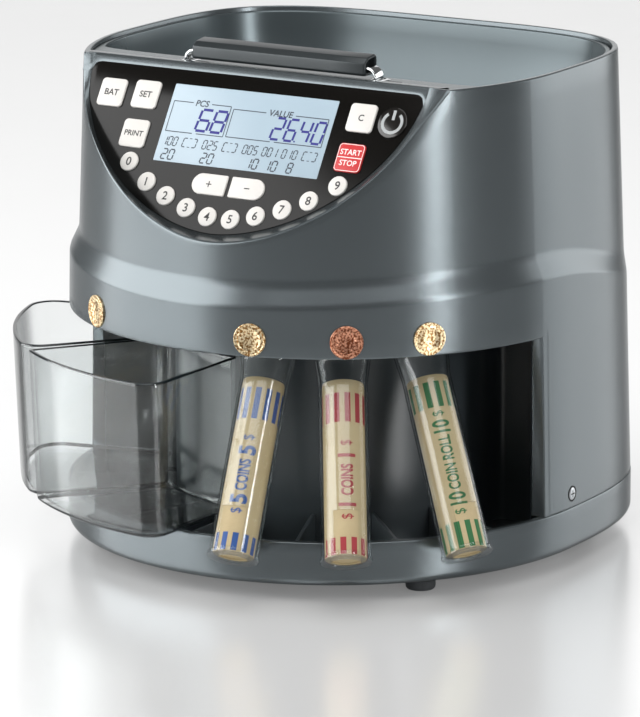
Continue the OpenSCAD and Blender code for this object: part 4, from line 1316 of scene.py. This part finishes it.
# the solids that keep their own shape and get a finish
kept = {
    "sort_deck": "bayAbs", "tube_rails": "bayAbs", "sort_rail": "aluminium", "sorting_disc": "aluminium",
    "drive_shaft": "steel", "gear_motor": "zincPlate", "power_supply": "zincPlate", "power_inlet": "rubber",
    "lcd_module": "circuitBoard", "key_board": "circuitBoard", "main_board": "circuitBoard",
}
for node, material in kept.items():
    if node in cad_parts:
        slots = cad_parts[node].data.materials
        slots.clear()
        slots.append(finishes[material])
print("kept parts finished")

studio = {
    "floor": "#e6e6e6",
    "floorSize": 3.2,
    "floorGlow": 0.16,  # lifts the table to white outside the shadow
    "ambient": 0.14,
    "backdrop": 1.0,  # white wall behind the machine
    "backdropAt": radians(31.7),
    # name: bearing from the front, distance, height, width, tall, watts
    "lights": {
        "narrowBox": (75.0, 1.5, 0.56, 0.19, 1.1, 9.0),
        "rearBox": (145.0, 1.6, 0.43, 1.15, 0.84, 7.5),
        "leftBox": (-54.0, 1.6, 0.69, 2.1, 1.35, 42.0),
        "frontTop": (30.0, 1.0, 1.5, 1.7, 0.8, 10.0),
    },
    "top": (1.15, 1.6, 8.5),  # size, height, watts
}

camera = {
    "bearing": radians(31.712),
    "rise": radians(13.197),
    "roll": -0.00362,
    "lens": 254.2,
    "shift": (-0.0252, -0.0241),
    "place": (1411.378, -2282.958, 734.615),  # from the machine's centre, mm
}


def floorMaterial():
    # polished white table: the object's shadow and a soft mirror image stay on it
    material = newMaterial("white table")
    place = addNode(material, "TexCoord").outputs["Object"]
    haze = addNode(material, "TexNoise", {"Scale": 1000 / 40, "Detail": 2.0}, {"Vector": place})
    rough = addNode(material, "MapRange", {"To Min": 0.21, "To Max": 0.25}, {"Value": haze})
    seen = addNode(material, "LightPath").outputs["Is Camera Ray"]
    glow = addNode(material, "Math", {"operation": "MULTIPLY", 1: studio["floorGlow"]}, {0: seen})
    settings = {"Base Color": toLinear(studio["floor"]), "Metallic": 0.45, "IOR": 1.6,
                "Emission Color": (1, 1, 1, 1)}
    return output(material, addNode(material, "BsdfPrincipled", settings,
                                    {"Roughness": rough, "Emission Strength": glow}))


def softLight(name, place, aim, width, tall, power):
    lamp = bpy.data.lights.new(name, "AREA")
    lamp.shape = "RECTANGLE"
    lamp.size, lamp.size_y = width, tall
    lamp.energy = power
    holder = bpy.data.objects.new(name, lamp)
    holder.location = place
    holder.rotation_euler = (Vector(aim) - Vector(place)).to_track_quat("-Z", "Y").to_euler()
    bpy.context.scene.collection.objects.link(holder)


def makeWorld():
    # the camera sees plain white; the object is lit by a dim room with a white wall behind it
    world = bpy.data.worlds.new("studio")
    bpy.context.scene.world = world
    world.use_nodes = True
    world.node_tree.nodes.clear()
    seen = addNode(world, "LightPath").outputs
    either = addNode(world, "Math", {"operation": "MAXIMUM"},
                     {0: seen["Is Camera Ray"], 1: seen["Is Transmission Ray"]})
    towards = addNode(world, "TexCoord").outputs["Generated"]
    bearing = studio["backdropAt"]
    along = addNode(world, "VectorMath", {"operation": "DOT_PRODUCT", 1: (-sin(bearing), cos(bearing), 0.1)},
                    {0: towards})
    wall = addNode(world, "MapRange", {"interpolation_type": "SMOOTHSTEP", "From Min": 0.9, "From Max": 0.96,
                                       "To Min": studio["ambient"], "To Max": studio["backdrop"]},
                   {"Value": along.outputs["Value"]})
    level = addNode(world, "Math", {"operation": "MAXIMUM"}, {0: either, 1: wall})
    sky = addNode(world, "Background", {"Color": (1, 1, 1, 1)}, {"Strength": level})
    addNode(world, "OutputWorld", {}, {"Surface": sky})


def makeStudio():
    floor = bpy.data.meshes.new("floor")
    s, z = studio["floorSize"], -0.0005
    floor.from_pydata([(-s, -s, z), (s, -s, z), (s, s, z), (-s, s, z)], [], [(0, 1, 2, 3)])
    floor.materials.append(floorMaterial())
    table = bpy.data.objects.new("floor", floor)
    bpy.context.scene.collection.objects.link(table)
    makeWorld()
    for name, (bearing, away, height, width, tall, power) in studio["lights"].items():
        softLight(name, around(radians(bearing), away, height), (0, 0, 0.14), width, tall, power)
    size, height, power = studio["top"]
    softLight("topBox", (0.0, -0.1, height), (0, 0, 0.1), size, size, power)


def makeCamera():
    # the viewpoint is given by its bearing and rise as seen from the machine, with a slight roll
    bearing, rise, roll = camera["bearing"], camera["rise"], camera["roll"]
    backward = Vector((sin(bearing) * cos(rise), -cos(bearing) * cos(rise), sin(rise)))
    across = Vector((cos(bearing), sin(bearing), 0))
    upward = backward.cross(across)
    right = across * cos(roll) + upward * sin(roll)
    up = -across * sin(roll) + upward * cos(roll)
    spot = (Vector(camera["place"]) + Vector((*centre, 0.0))) * mm
    made = bpy.data.cameras.new("camera")
    made.sensor_width = 36.0
    made.lens = camera["lens"]
    made.shift_x, made.shift_y = camera["shift"]
    made.clip_end = 20.0
    holder = bpy.data.objects.new("camera", made)
    holder.matrix_world = Matrix([(right[k], up[k], backward[k], spot[k]) for k in range(3)] + [(0, 0, 0, 1)])
    bpy.context.scene.collection.objects.link(holder)
    bpy.context.scene.camera = holder


makeStudio()
makeCamera()
bpy.context.scene.view_settings.view_transform = "Standard"
bpy.context.view_layer.update()
print("studio made")
